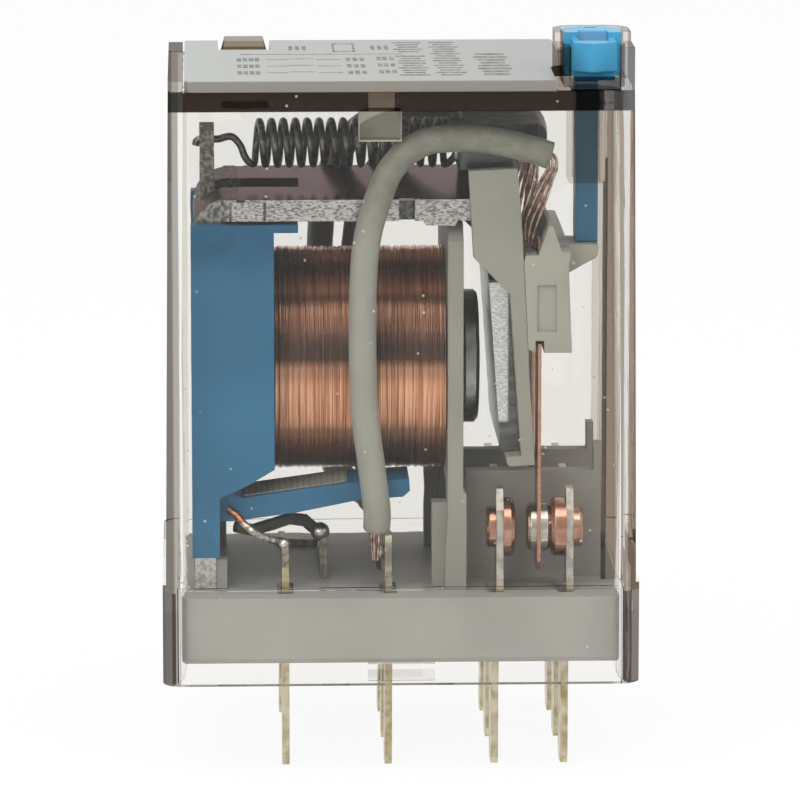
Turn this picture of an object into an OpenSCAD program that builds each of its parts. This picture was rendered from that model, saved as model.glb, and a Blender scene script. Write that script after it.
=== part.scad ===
// Plug-in power relay with three changeover contacts under a clear cover.
// Z = 0 is the plane of the blade tips. X runs from the coil to the contacts,
// Y runs across the relay, and the front is at -Y. The armature is at rest.

/* [Cover] */
// Length of the cover at its skirt
cover_l = 27.7; // [27.4:0.1:28.6]
// Width of the cover at its skirt
cover_w = 20.7; // [20.6:0.1:21.6]
// Height of the cover from its rim to its top face
cover_h = 34.6; // [34.5:0.1:36]
// Wall of the cover
cover_wall = 0.85; // [0.6:0.05:0.9]
// Thickness of the cover's top
cover_top = 1.15; // [0.9:0.05:1.2]
// Radius of the cover's upright corners
cover_r = 1; // [0.6:0.1:1.4]
// Height of the skirt that closes round the base
skirt_h = 5.8; // [5.2:0.1:7]
// How far the skirt stands out from the body
skirt_step = 0.2; // [0.1:0.05:0.25]
// Narrowing of the body towards its top, on each side
cover_draft = 0.3; // [0.1:0.05:0.35]
// Width of the snap lips under the base
lip_w = 3.9; // [2:0.1:6]
// How far the snap lips reach in
lip_in = 0.5; // [0.3:0.05:0.8]
// How far the ribs stand in from the coil's end wall
rib_in = 0.5; // [0.3:0.05:0.55]
// How far the ribs stand in from the contacts' end wall
rib_deep = 0.9; // [0.6:0.05:0.95]
// Thickness of the guide ribs
rib_t = 0.8; // [0.5:0.1:1.2]
// Length of the plunger's guide under the top
guide_h = 4.7; // [3:0.1:5]

/* [Button boss] */
// Length of the boss along X
boss_l = 4.4; // [4.3:0.1:4.8]
// Depth of the boss along Y
boss_d = 7; // [6.4:0.1:8]
// Wall of the boss
boss_wall = 0.45; // [0.4:0.05:0.5]
// Thickness of the cheeks' front ends
cheek_front = 0.75; // [0.6:0.05:0.8]
// Height of the low wall in front of the button
boss_sill = 0.8; // [0.5:0.05:0.9]
// Height of the boss's cheeks above the cover's top
boss_h = 2.5; // [1.9:0.1:2.6]
// How far the back of the boss stands above its cheeks
boss_rise = 0.5; // [0:0.1:0.8]

/* [Label] */
// Length of the label plate
label_l = 22.1; // [21:0.1:22.3]
// Width of the label plate
label_w = 19.4; // [18:0.1:19.5]
// Thickness of the label plate
label_t = 0.65; // [0.4:0.05:1]
// Length of the notch that shows the cover's catch
notch_l = 3.1; // [2:0.1:5]
// Depth of that notch from the label's rear edge
notch_d = 4.6; // [3:0.1:6]

/* [Base] */
// Thickness of the base
base_t = 3.9; // [3.4:0.1:4.2]
// How far the base sits above the rim of the cover
base_up = 1.15; // [1:0.05:1.5]
// Height of the walls between the poles, above the base
barrier_h = 6.4; // [5:0.1:6.8]
// Thickness of the walls between the poles
barrier_t = 1; // [0.6:0.1:1.4]
// Extra height of the post at the end of each wall
post_rise = 1.6; // [1:0.1:3]

/* [Blades] */
// How far the blades stand out below the rim
blade_out = 5.4; // [4.5:0.1:6.5]
// Width of a blade
blade_w = 2.5; // [2:0.1:2.8]
// Thickness of a blade
blade_t = 0.42; // [0.38:0.02:0.5]
// Distance of the outer rows of blades from the base's sides
row_edge = 2.8; // [2.7:0.05:3]
// Distance from the coil blades to the common blades
coil_pitch = 6; // [5.8:0.1:6.1]
// Distance from the common to the normally open blades
com_pitch = 6.22; // [6.1:0.02:6.3]
// Distance from the normally open to the normally closed blades
throw_x = 4.08; // [4.06:0.02:4.2]
// Sideways step of the contact strips above their blades
strip_step = 0.28; // [0.2:0.02:0.34]
// Height of the contact strips above the base
strip_h = 5.95; // [5.6:0.05:6.1]
// Height of the common tags above the base
com_h = 3.3; // [2.8:0.1:4]
// Height of the coil tags above the base
coil_tag_h = 2.6; // [2:0.1:2.7]

/* [Contacts] */
// Height of the contacts above the base
contact_h = 3.6; // [3.5:0.05:4]
// Radius of the fixed contact heads
fixed_r = 1.73; // [1.4:0.01:1.8]
// Height of the normally open contact head
no_head_h = 0.68; // [0.5:0.02:0.75]
// Radius of the moving contact heads
moving_r = 1.42; // [1.1:0.02:1.6]
// Height of each moving contact head
moving_head_h = 0.58; // [0.4:0.02:0.64]
// Open gap of the normally open contacts at rest
contact_gap = 0.68; // [0.6:0.02:0.76]
// Radius of a rivet's shank
shank_r = 0.6; // [0.4:0.05:0.8]
// Radius of the upset tail of a fixed rivet
tail_r = 1.2; // [0.9:0.05:1.4]
// Height of the upset tail of a fixed rivet
tail_h = 0.55; // [0.3:0.05:0.6]
// Thickness of a contact spring
leaf_t = 0.2; // [0.15:0.01:0.25]
// Width of a contact spring
leaf_w = 3; // [2.4:0.1:3.4]
// Width of its clamped root
root_w = 2.4; // [2:0.1:2.5]

/* [Coil] */
// Height of the coil's axis above the base
coil_axis_h = 12.6; // [12.5:0.1:12.7]
// Outer radius of the winding
wind_r = 6.6; // [5:0.1:6.6]
// Outer radius of the bobbin's barrel
barrel_r = 3.6; // [3.3:0.1:4.2]
// Radius of the core
core_r = 2.9; // [2:0.1:3]
// Radius of the pole disc
disc_r = 3.95; // [3.2:0.05:4.4]
// Thickness of the pole disc
disc_t = 1; // [0.7:0.05:1.1]
// Radius of the core's riveted tail
core_tail_r = 2.1; // [1.4:0.1:2.6]
// Thickness of the bobbin's flange
flange_t = 0.9; // [0.7:0.05:1.1]

/* [Yoke] */
// Thickness of the yoke's plate
yoke_t = 1.25; // [1:0.05:1.3]
// How much narrower the upright leg is than the top arm
leg_less = 1.1; // [0.9:0.1:1.4]
// Height of the yoke's top face above the base
yoke_h = 23; // [22.9:0.1:23.1]
// Width of the tongue that carries the return spring
tongue_w = 3.6; // [2.8:0.1:4.4]
// Height of the tongue above the yoke's top face
tongue_h = 3.35; // [3.25:0.05:3.8]
// Thickness that the tongue is pressed down to
tongue_t = 0.85; // [0.7:0.05:1]

/* [Armature] */
// Swing of the armature, in degrees
armature_swing = 4; // [3.5:0.1:4.2]
// Thickness of the armature plate
armature_t = 1.1; // [0.9:0.05:1.2]
// How much narrower the armature plate is than the yoke
armature_less = 1.3; // [1.2:0.1:2]
// Film left between armature and pole when pulled in
pole_film = 0.05; // [0.04:0.01:0.1]
// Thickness of the spring bracket
bracket_t = 0.75; // [0.6:0.05:0.85]
// Width of the spring bracket
bracket_w = 6; // [5:0.1:7]
// Thickness of the carrier's cheeks
cheek_t = 0.9; // [0.6:0.05:1]

/* [Return spring] */
// Outer diameter of the spring
spring_od = 3; // [2.4:0.1:3.2]
// Wire of the spring
spring_wire = 0.45; // [0.3:0.05:0.5]
// Number of turns
spring_turns = 16; // [12:1:18]
// Length of the hook between the coiled part and the bracket
hook_l = 0.8; // [0.7:0.1:1.2]

/* [Leads] */
// Outer diameter of the sleeves
sleeve_d = 1.6; // [1.3:0.05:1.65]
// Bore of the sleeves
sleeve_bore = 1.06; // [1:0.02:1.2]
// Diameter of the braided leads
braid_d = 0.8; // [0.6:0.05:0.9]
// Diameter of the coil's bare lead
bare_lead_d = 0.45; // [0.3:0.05:0.5]
// Diameter of the coil's covered lead
covered_lead_d = 0.75; // [0.5:0.05:0.8]

/* [Test button] */
// Width of the button's head
head_l = 3.3; // [3:0.1:3.35]
// Width of the button's nose
nose_l = 2.5; // [2.2:0.1:2.6]
// Height of the button's head
head_h = 1.65; // [1.4:0.05:1.8]
// Width of the plunger along X
plunger_l = 1.3; // [1.1:0.05:1.4]
// Depth of the plunger along Y
plunger_w = 2; // [1.6:0.1:2.4]

/* [Fits] */
// Play between pieces that are pressed or snapped together
fit = 0.02; // [0.01:0.01:0.04]
// Play between the base and the cover
base_fit = 0.1; // [0.05:0.01:0.14]
// Play between moving pieces
run = 0.1; // [0.08:0.01:0.12]
// Room beside the yoke, where the sleeves pass
side_room = 2.15; // [2.1:0.05:2.3]
// Room between a sleeve and the cover's wall
sleeve_gap = 0.15; // [0.1:0.01:0.2]
// Room between the coil clip and the ribs of the end wall
clip_gap = 0.2; // [0.15:0.01:0.3]
// Room between the strips of the closed contacts and the end wall
strip_gap = 2.92; // [2.9:0.01:3.1]

/* [Hidden] */
$fn = 48;

// Heights
rim_z = blade_out;
base_z = rim_z + base_up;
floor_z = base_z + base_t;
top_z = rim_z + cover_h;
ceil_z = top_z - cover_top;
skirt_z = rim_z + skirt_h;
axis_z = floor_z + coil_axis_h;
yoke_z = floor_z + yoke_h;
arm_z = yoke_z - yoke_t;
contact_z = floor_z + contact_h;

// Plan sizes of cover and base
body_l = cover_l - 2 * skirt_step;
body_w = cover_w - 2 * skirt_step;
inner_l = body_l - 2 * cover_wall;
inner_w = body_w - 2 * cover_wall;
skirt_in_l = cover_l - 2 * cover_wall;
skirt_in_w = cover_w - 2 * cover_wall;
base_l = skirt_in_l - 2 * base_fit;
base_w = skirt_in_w - 2 * base_fit;
front_y = -body_w / 2 + cover_draft;
row_pitch = base_w / 2 - row_edge;
rows = [-row_pitch, 0, row_pitch];

// The boss stands flush with the front and the right end of the body
boss_x = body_l / 2 - cover_draft - boss_l;
boss_mid = boss_x + boss_l / 2;
boss_back = front_y + boss_d;

// The label reaches from the front edge to behind the boss
label_x1 = boss_x + 0.75;
label_x0 = label_x1 - label_l;
label_back = front_y + 0.05 + label_w;
margin_w = label_x0 - run + body_l / 2 - cover_draft;
catch_z = top_z + label_t + 0.25;
notch_x = label_x0 + 2;

// Blades and contact strips, counted from the contacts' end wall
nc_strip = inner_l / 2 - strip_gap;
nc_x = nc_strip - strip_step;
no_x = nc_x - throw_x;
no_strip = no_x + strip_step;
com_x = no_x - com_pitch;
coil_x = com_x - coil_pitch;

// Widths of the magnet system inside the cover
yoke_w = inner_w - 2 * side_room;
leg_w = yoke_w - leg_less;
armature_w = yoke_w - armature_less;
flange_w = yoke_w - run;
clip_half = yoke_w / 2 + 0.45;

// Magnet system, from the outside of the leg to the armature
clip_x = -inner_l / 2 + rib_in + clip_gap;
leg_x = clip_x + 0.15;
leg_in = leg_x + yoke_t;
wind_x0 = clip_x + 4.8;
disc_face = no_x - 0.74;
disc_x = disc_face - disc_t;
flange_x = disc_x - flange_t - 0.1;

// The armature turns on the end edge of the yoke
plate_face = disc_face + pole_film;
pivot_x = plate_face + 0.22;
pivot_z = yoke_z;
yoke_end = plate_face - run;

// Contact strips, rivets and springs
no_face = no_strip + blade_t / 2 + no_head_h;
leaf_x = no_face + contact_gap + moving_head_h + leaf_t / 2;
nc_face = leaf_x + leaf_t / 2 + moving_head_h + 0.02;
nc_head_h = nc_strip - blade_t / 2 - nc_face;
block_z0 = floor_z + 14.15;
leaf_low = floor_z + 1.2;
leaf_top = block_z0 + 0.5;

// Spring between tongue and bracket
spring_z = yoke_z + 2.35;
spring_x = leg_in + 2.35;
spring_r = (spring_od - spring_wire) / 2;
bracket_z = pivot_z + 3;
bracket_x = plate_face - 1.63;
bracket_x1 = plate_face + 3.92;
tongue_x = leg_in - tongue_t;
eye_z = spring_z + 0.25;
hook_x = bracket_x + 0.45;
spring_l = hook_x - hook_l - spring_x;

// Lug and plunger of the test button
plunger_x = boss_mid - 0.25;
plunger_y = front_y + 5.55;
lug_top = floor_z + 20.15;
button_rise = 0.45;
plunger_end = lug_top + 0.06;

// Routes of the sleeves with their braids: front pole, middle pole, rear pole. Their points
// are counted along X from the common tags
side_y = inner_w / 2 - cover_draft - sleeve_d / 2 - sleeve_gap;
route_1 = [[9.3, -side_y, 36.1], [8.3, -side_y, 36.45], [7.3, -side_y, 36.7], [5.9, -side_y, 37],
    [4.6, -side_y, 37.1], [3.3, -side_y, 37.1], [2.2, -side_y, 36.95], [1.3, -side_y, 36.5],
    [0.6, -side_y, 35.9], [-0.05, -side_y - 0.05, 35], [-0.5, -side_y - 0.05, 33.9],
    [-0.9, -side_y - 0.05, 32.7], [-1.25, -side_y - 0.05, 31.2], [-1.45, -side_y - 0.05, 29],
    [-1.5, -side_y - 0.05, 26.5], [-1.5, -side_y - 0.05, 24], [-1.45, -side_y - 0.05, 21.8],
    [-1.25, -side_y, 19.9], [-1, -side_y + 0.1, 18], [-0.8, -side_y + 0.25, 16.4],
    [-0.65, -row_pitch - 0.8, 15.1], [-0.66, -row_pitch - 0.4, 14.15]];
route_2 = [[9, 4.1, 35.1], [9.05, 4.4, 35.9], [8.75, 4.75, 36.6], [8, 5, 37.05],
    [6.8, 5.2, 37.25], [5.4, 5.4, 37.25], [4, 5.6, 37.25], [2.6, 6, 37.15], [1.3, 6.5, 36.9],
    [0.1, 7, 36.45], [-1, 7.5, 35.8], [-1.9, side_y - 0.15, 34.9], [-2.6, side_y + 0.05, 33.8],
    [-3.1, side_y + 0.05, 32.5], [-3.4, side_y + 0.05, 31], [-3.6, side_y + 0.05, 29],
    [-3.7, side_y, 26], [-3.7, side_y - 0.05, 22], [-3.5, side_y - 0.25, 18.6], [-3.2, 7.1, 16.5],
    [-2.7, 5.8, 15.2], [-2.1, 4.2, 14.75], [-1.5, 2.6, 14.6], [-1, 1.2, 14.5],
    [-0.75, 0.3, 14.32]];
route_3 = [[9.3, side_y, 36.1], [8.3, side_y, 36.45], [7.1, side_y, 36.7], [5.7, side_y, 36.75],
    [4.3, side_y, 36.5], [3.1, side_y, 36], [2, side_y, 35.3], [1.1, side_y, 34.5],
    [0.2, side_y + 0.05, 33.5], [-0.6, side_y + 0.05, 32.2], [-1.2, side_y + 0.05, 30.6],
    [-1.5, side_y, 28.8], [-1.6, side_y - 0.05, 26.5], [-1.6, side_y - 0.05, 24],
    [-1.5, side_y - 0.1, 21], [-1.35, side_y - 0.2, 18.8], [-1.1, side_y - 0.45, 17],
    [-0.8, row_pitch + 0.6, 15.4], [-0.66, row_pitch + 0.3, 14.15]];
routes = [route_1, route_2, route_3];
// Bare braid from the contact spring's root to the sleeve, and from it to the common tag
upper_1 = [[8.21, -row_pitch - 0.2, 30.5], [8.26, -row_pitch - 0.3, 31.8],
    [8.6, -row_pitch - 0.6, 33.2], [9.1, -side_y + 0.45, 34.6], [9.5, -side_y + 0.1, 35.6]];
upper_2 = [[8.21, 0, 30.5], [8.26, 0.2, 31.5], [8.55, 1.1, 32.7], [8.85, 2.5, 33.7],
    [8.95, 3.5, 34.4]];
upper_3 = [[8.21, row_pitch + 0.2, 30.5], [8.26, row_pitch + 0.3, 31.8],
    [8.6, row_pitch + 0.6, 33.2], [9.1, side_y - 0.45, 34.6], [9.5, side_y - 0.1, 35.6]];
uppers = [upper_1, upper_2, upper_3];
lower_1 = [[-0.68, -row_pitch - 0.3, 13.2], [-0.7, -row_pitch - 0.2, 12.2]];
lower_2 = [[-0.68, -0.1, 13.3], [-0.7, -0.1, 12.2]];
lower_3 = [[-0.68, row_pitch + 0.25, 13.2], [-0.7, row_pitch + 0.2, 12.2]];
lowers = [lower_1, lower_2, lower_3];
// Leads of the coil, counted along X from the coil tags
lead_a = [[-3.3, -row_pitch - 0.16, 15.2], [-2.8, -row_pitch - 0.5, 14.9],
    [-2.4, -row_pitch - 0.9, 14.5], [-1.9, -row_pitch - 1.15, 14.1],
    [-1.3, -row_pitch - 1.15, 13.75], [-0.7, -row_pitch - 0.9, 13.5],
    [-0.25, -row_pitch - 0.5, 13.4]];
lead_b = [[-2.9, -5.2, 13.9], [-1.9, -4.9, 13.6], [-0.7, -4.7, 13.9], [0.3, -4.5, 14.2],
    [1.2, -4.1, 14], [1.66, -3.6, 13.5]];

CLEAR = [0.75, 0.72, 0.68, 0.4];
BLUE = "#4C768F";
GREY = "#A5A298";
STEEL = "#8C8C8A";
COPPER = "#B9694A";
GOLD = "#B9AA78";

// Ways of drawing a flat profile: in X-Z with its width along Y, and in Y-Z
module across(w) {
    rotate([90, 0, 0]) linear_extrude(w, center = true) children();
}

module upright(t) {
    rotate([90, 0, 90]) linear_extrude(t, center = true) children();
}

// Turn with the armature about the edge of the yoke
module swung(angle) {
    translate([pivot_x, 0, pivot_z]) rotate([0, -angle, 0]) translate([-pivot_x, 0, -pivot_z])
        children();
}

module round_rect(l, w, r) {
    union() {
        square([l - 2 * r, w], center = true);
        square([l, w - 2 * r], center = true);
        for (sx = [-1, 1]) {
            for (sy = [-1, 1]) {
                translate([sx * (l / 2 - r), sy * (w / 2 - r)]) circle(r);
            }
        }
    }
}

// Box with upright round corners whose four walls lean in by a draft
module drafted(l, w, r, z0, z1, lean) {
    intersection() {
        translate([0, 0, z0]) linear_extrude(z1 - z0) round_rect(l, w, r);
        across(w + 2) polygon([[-l / 2, z0], [l / 2, z0], [l / 2 - lean, z1], [lean - l / 2, z1]]);
        upright(l + 2) polygon([[-w / 2, z0], [w / 2, z0], [w / 2 - lean, z1], [lean - w / 2, z1]]);
    }
}

// Rivet along X: a head at x, then the shank through a strip, then the upset tail
module rivet(x, side, head, radius, strip, tail, tail_radius) {
    edge = 0.16;
    translate([x, 0, 0]) rotate([0, side * 90, 0]) rotate_extrude() polygon([[0, 0],
        [radius - edge * 2, 0], [radius - edge, edge / 3], [radius, edge * 1.6], [radius, head],
        [shank_r, head], [shank_r, head + strip], [tail_radius, head + strip],
        [tail_radius, head + strip + tail - edge], [tail_radius - edge, head + strip + tail],
        [0, head + strip + tail]]);
}

// Points for a tube: a ring is turned to face along the route at each point
function unit(v) = v / norm(v);
function heading(p, i) =
    unit(p[min(i + 1, len(p) - 1)] - p[max(i - 1, 0)]);
function side_of(h) = unit(cross(h, abs(h[1]) > 0.9 ? [1, 0, 0] : [0, 1, 0]));
// Side directions carried along the route without twist
function carried(p) = [for (i = 0, u = side_of(heading(p, 0)); i < len(p); i = i + 1,
    u = i < len(p) ? unit(u - (u * heading(p, i)) * heading(p, i)) : u) u];
function ring(p, i, u, r, sides) =
    let (v = cross(heading(p, i), u))
    [for (k = [0 : sides - 1]) p[i] + r * (cos(360 * k / sides) * u + sin(360 * k / sides) * v)];
function band(a, b, sides) =
    [for (k = [0 : sides - 1]) let (m = (k + 1) % sides)
        each [[a + k, b + m, a + m], [a + k, b + k, b + m]]];

module cord(p, r, sides = 8) {
    n = len(p);
    u = carried(p);
    points = [for (i = [0 : n - 1]) each ring(p, i, u[i], r, sides)];
    start = [for (k = [0 : sides - 1]) k];
    end = [for (k = [0 : sides - 1]) n * sides - 1 - k];
    skin = [for (i = [0 : n - 2]) each band(i * sides, (i + 1) * sides, sides)];
    polyhedron(points, concat([start], skin, [end]));
}

// A tube with an open bore: outer rings first, then the inner ones
module sleeve_tube(p, r, bore, sides = 8) {
    n = len(p);
    all = n * sides;
    u = carried(p);
    outer = [for (i = [0 : n - 1]) each ring(p, i, u[i], r, sides)];
    inner = [for (i = [0 : n - 1]) each ring(p, i, u[i], bore, sides)];
    skin = [for (i = [0 : n - 2]) each band(i * sides, (i + 1) * sides, sides)];
    lining = [for (i = [0 : n - 2]) each band(all + (i + 1) * sides, all + i * sides, sides)];
    near = band(all, 0, sides);
    far = band((n - 1) * sides, all + (n - 1) * sides, sides);
    polyhedron(concat(outer, inner), concat(skin, lining, near, far));
}

// Clear cover: drafted body on a wider skirt, boss for the button, ribs and snap lips
module cover_shell() {
    difference() {
        union() {
            drafted(body_l, body_w, cover_r, skirt_z - 0.1, top_z, cover_draft);
            translate([0, 0, rim_z]) linear_extrude(skirt_h)
                round_rect(cover_l, cover_w, cover_r + skirt_step);
        }
        drafted(inner_l, inner_w, cover_r / 2, skirt_z - 0.6, ceil_z, cover_draft);
        translate([0, 0, rim_z - 1]) linear_extrude(skirt_h + 1 - cover_wall / 3)
            round_rect(skirt_in_l, skirt_in_w, cover_r / 2 + skirt_step);
    }
}

module boss_outline(grow) {
    l = boss_l + 2 * grow;
    back = boss_back + grow;
    r = 1.4 + grow;
    front = front_y + 0.1 + max(0, -grow);
    translate([boss_mid - l / 2, front]) square([l, back - r - front]);
    translate([boss_mid, back - r]) square([l - 2 * r, 2 * r], center = true);
    for (s = [-1, 1]) translate([boss_mid + s * (l / 2 - r), back - r]) circle(r);
}

module boss() {
    difference() {
        translate([0, 0, top_z - 0.1]) linear_extrude(boss_h + boss_rise + 0.1) boss_outline(0);
        translate([0, 0, top_z]) linear_extrude(boss_h + boss_rise + 1) difference() {
            boss_outline(-boss_wall);
            // The cheeks are thicker at their front ends
            for (x = [boss_x - 1, boss_x + boss_l - cheek_front]) {
                translate([x, front_y - 1]) square([1 + (x < boss_mid ? cheek_front : 0), 3]);
            }
        }
        translate([boss_x + cheek_front, front_y - 1, top_z + boss_sill])
            cube([boss_l - 2 * cheek_front, 3, boss_h + boss_rise + 1]);
        // The cheeks are lower than the back
        translate([boss_x - 1, front_y - 1, top_z + boss_h])
            cube([boss_l + 2, boss_d * 0.62, boss_rise + 1]);
    }
}

module cover() {
    guide_l = plunger_l + 2 * run + 0.6;
    rib_z0 = floor_z + fit;
    rib_z1 = ceil_z + 0.1;
    guide_w = plunger_w + 2 * run + 0.8;
    color(CLEAR) difference() {
        union() {
            cover_shell();
            boss();
            // Guide for the plunger
            translate([plunger_x - guide_l / 2, plunger_y - guide_w / 2, ceil_z - guide_h])
                cube([guide_l, guide_w, guide_h + 0.1]);
            // Peg under the top, next to the front wall
            translate([com_x - 1.7, -inner_w / 2 + cover_draft - 0.1, ceil_z - 1.7])
                cube([2.4, 2.1, 1.8]);
            // Ribs on the end walls, down to the base
            for (s = [-1, 1]) {
                translate([-inner_l / 2 - 0.2, s * 6 - rib_t / 2, rib_z0])
                    cube([rib_in + 0.2, rib_t, rib_z1 - rib_z0]);
                translate([inner_l / 2 - rib_deep, s * 4.4 - rib_t / 2, rib_z0])
                    cube([rib_deep + 0.2, rib_t, rib_z1 - rib_z0]);
            }
            // Snap lips under the front and rear edges of the base
            for (s = [-1, 1]) {
                upright(lip_w) polygon([[s * (skirt_in_w / 2 + 0.1), rim_z + 0.15],
                    [s * (skirt_in_w / 2 - lip_in * 0.4), rim_z + 0.15],
                    [s * (skirt_in_w / 2 - lip_in), base_z - 0.4],
                    [s * (skirt_in_w / 2 - lip_in), base_z - fit],
                    [s * (skirt_in_w / 2 + 0.1), base_z - fit]]);
            }
            // Raised margin at the left of the label plate
            translate([-body_l / 2 + cover_draft, front_y + 0.5, top_z - 0.1])
                cube([margin_w, body_w - 2 * cover_draft - 1.3, label_t + 0.1]);
            translate([label_x0 - run - 0.37, front_y + 0.38, top_z - 0.1])
                cylinder(r = 0.36, h = label_t + 0.1);
            // Ramped catch in the notch of the label plate
            intersection() {
                translate([notch_x + notch_l / 2, 0, 0]) upright(notch_l) polygon([
                    [label_back - notch_d + run, top_z - 0.1],
                    [body_w / 2 - cover_draft, top_z - 0.1],
                    [body_w / 2 - cover_draft, catch_z], [label_back - 2, catch_z]]);
                across(body_w) polygon([[notch_x + run, top_z - 0.2],
                    [notch_x + notch_l - run, top_z - 0.2], [notch_x + notch_l - 0.4, catch_z],
                    [notch_x + 0.4, catch_z]]);
            }
        }
        translate([plunger_x, plunger_y, top_z - 2])
            cube([plunger_l + 2 * run, plunger_w + 2 * run, 20], center = true);
    }
}

// Label plate: lies on the cover, cut out round the cover's catch and the boss
module label_plate() {
    color("#C6C8C6") translate([0, 0, top_z + fit]) linear_extrude(label_t) difference() {
        translate([label_x0 + label_l / 2, label_back - label_w / 2])
            round_rect(label_l, label_w, 0.4);
        translate([notch_x, label_back - notch_d]) square([notch_l, notch_d + 1]);
        boss_outline(run);
        translate([boss_x - run, front_y - 1]) square([boss_l, 3]);
    }
}

// Slots that the blades stand in, and the sunk mouths above them
module blade_slots(z0, z1, grow) {
    for (y = rows) {
        for (x = [com_x, no_x, nc_x]) {
            translate([x, y, (z0 + z1) / 2])
                cube([blade_t + 2 * grow, blade_w + 2 * grow, z1 - z0], center = true);
        }
    }
    for (y = [-row_pitch, row_pitch]) {
        translate([coil_x, y, (z0 + z1) / 2])
            cube([blade_t + 2 * grow, blade_w + 2 * grow, z1 - z0], center = true);
    }
}

module step_slots() {
    for (y = rows) {
        for (x = [no_strip, nc_strip]) {
            translate([x, y, floor_z - 0.9]) cube([blade_t + 2 * fit, blade_w + 2 * fit, 2], center = true);
        }
    }
}

module base_block() {
    ch = 0.3;
    l = base_l / 2;
    w = base_w / 2;
    intersection() {
        translate([0, 0, base_z]) linear_extrude(base_t)
            round_rect(base_l, base_w, cover_r / 2 + 0.2);
        across(base_w + 2) polygon([[ch - l, base_z], [l - ch, base_z], [l, base_z + ch],
            [l, floor_z + 1], [-l, floor_z + 1], [-l, base_z + ch]]);
        upright(base_l + 2) polygon([[ch - w, base_z], [w - ch, base_z], [w, base_z + ch],
            [w, floor_z + 1], [-w, floor_z + 1], [-w, base_z + ch]]);
    }
}

barrier_x0 = disc_x + 0.2;
barrier_x1 = nc_strip + 2.05;
foot_slot = 0.6;

module base() {
    color(GREY) difference() {
        union() {
            base_block();
            // Walls between the poles, each with a raised end post
            for (y = [-row_pitch / 2, row_pitch / 2]) {
                translate([0, y, 0]) across(barrier_t) polygon([[barrier_x0, floor_z - 0.5],
                    [barrier_x1, floor_z - 0.5], [barrier_x1, floor_z + barrier_h + post_rise],
                    [barrier_x1 - 0.45, floor_z + barrier_h + post_rise],
                    [barrier_x1 - 0.45, floor_z + barrier_h], [barrier_x0, floor_z + barrier_h]]);
            }
            // Cross wall behind the flange
            translate([barrier_x0 + 0.3, 0, floor_z + 1]) cube([0.6, row_pitch, 3], center = true);
            // Stops that keep the yoke's leg against the end wall
            for (s = [-1, 1]) {
                translate([leg_in + fit, s * (leg_w / 2 - 0.4) - 0.5, floor_z - 0.1])
                    cube([0.6, 1, 1.9]);
            }
        }
        blade_slots(base_z - 1, floor_z - 1, fit);
        blade_slots(floor_z - 1.5, floor_z + 1, fit);
        blade_slots(floor_z - 0.25, floor_z + 0.1, 0.25);
        step_slots();
        // Shallow pockets in the underside, and a mouth round each blade
        for (x = [coil_x - 3.1, (coil_x + com_x) / 2, (com_x + no_x) / 2]) {
            translate([x, 0, base_z]) cube([1.6, base_w - 5, 1.6], center = true);
        }
        // Seats of the yoke's leg and of the bobbin's flange
        translate([leg_x + yoke_t / 2, 0, floor_z])
            cube([yoke_t + 2 * fit, leg_w * 0.5 + 2 * fit, 2 * foot_slot], center = true);
        translate([flange_x + flange_t / 2, 0, floor_z])
            cube([flange_t + 2 * fit, flange_w * 0.7 + 2 * fit, 2 * foot_slot], center = true);
    }
}

// Yoke: an L of steel plate. A tongue cut out of the top arm stands up at the bend
module yoke_profile() {
    bend = 2;
    union() {
        translate([leg_x + bend, arm_z]) square([yoke_end - leg_x - bend, yoke_t]);
        translate([leg_x, floor_z + fit]) square([yoke_t, yoke_z - bend - floor_z - fit]);
        translate([leg_x + bend, yoke_z - bend]) intersection() {
            difference() {
                circle(bend);
                circle(bend - yoke_t);
            }
            translate([-bend, 0]) square(bend);
        }
    }
}

module yoke() {
    slot_l = 4.95;
    color(STEEL) difference() {
        union() {
            difference() {
                intersection() {
                    across(yoke_w) yoke_profile();
                    union() {
                        translate([leg_x + yoke_t / 2, 0, 20])
                            cube([3, leg_w, 60], center = true);
                        translate([leg_x + 21.8, 0, 30]) cube([40, yoke_w, 60], center = true);
                    }
                }
                // Slot that the tongue came out of
                translate([leg_in + slot_l / 2, 0, yoke_z])
                    cube([slot_l, tongue_w, 3 * yoke_t], center = true);
                // Notches in the edges of the top arm
                for (s = [-1, 1]) {
                    translate([com_x + 1.1, s * yoke_w / 2, yoke_z])
                        cube([0.9, 1.2, 6], center = true);
                    translate([leg_in + 1.5, s * yoke_w / 2, yoke_z])
                        cube([0.5, 0.6, 6], center = true);
                }
            }
            translate([leg_in - tongue_t / 2, 0, 0]) upright(tongue_t) translate([-tongue_w / 2,
                arm_z - 3]) square([tongue_w, yoke_t + tongue_h + 3]);
            translate([leg_x + yoke_t / 2, 0, floor_z - foot_slot / 2 + 0.1])
                cube([yoke_t, leg_w * 0.5, foot_slot], center = true);
            // Staked lobes on the front and rear edges
            for (s = [-1, 1]) {
                translate([leg_in + 1.9, s * (yoke_w / 2 - 0.2), arm_z + 0.05]) linear_extrude(yoke_t - 0.15)
                    polygon([[-1.2, 0], [-0.9, s * 0.42], [0.9, s * 0.42], [1.2, 0]]);
                translate([0, s * (yoke_w / 2 - 0.25), 0]) across(0.6) polygon([
                    [com_x + 1.9, arm_z + 0.2], [com_x + 2.2, arm_z - 0.25],
                    [com_x + 3.9, arm_z - 0.3], [com_x + 4.1, arm_z + 0.2]]);
            }
        }
        // Seat of the core's tail
        translate([leg_x - 1, 0, axis_z]) rotate([0, 90, 0]) cylinder(r = core_tail_r + fit, h = 4);
        // Eye for the spring's hook
        translate([leg_x - 1, 0, eye_z]) rotate([0, 90, 0])
            cylinder(r = spring_wire / 2 + 0.25, h = 4);
    }
}

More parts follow.
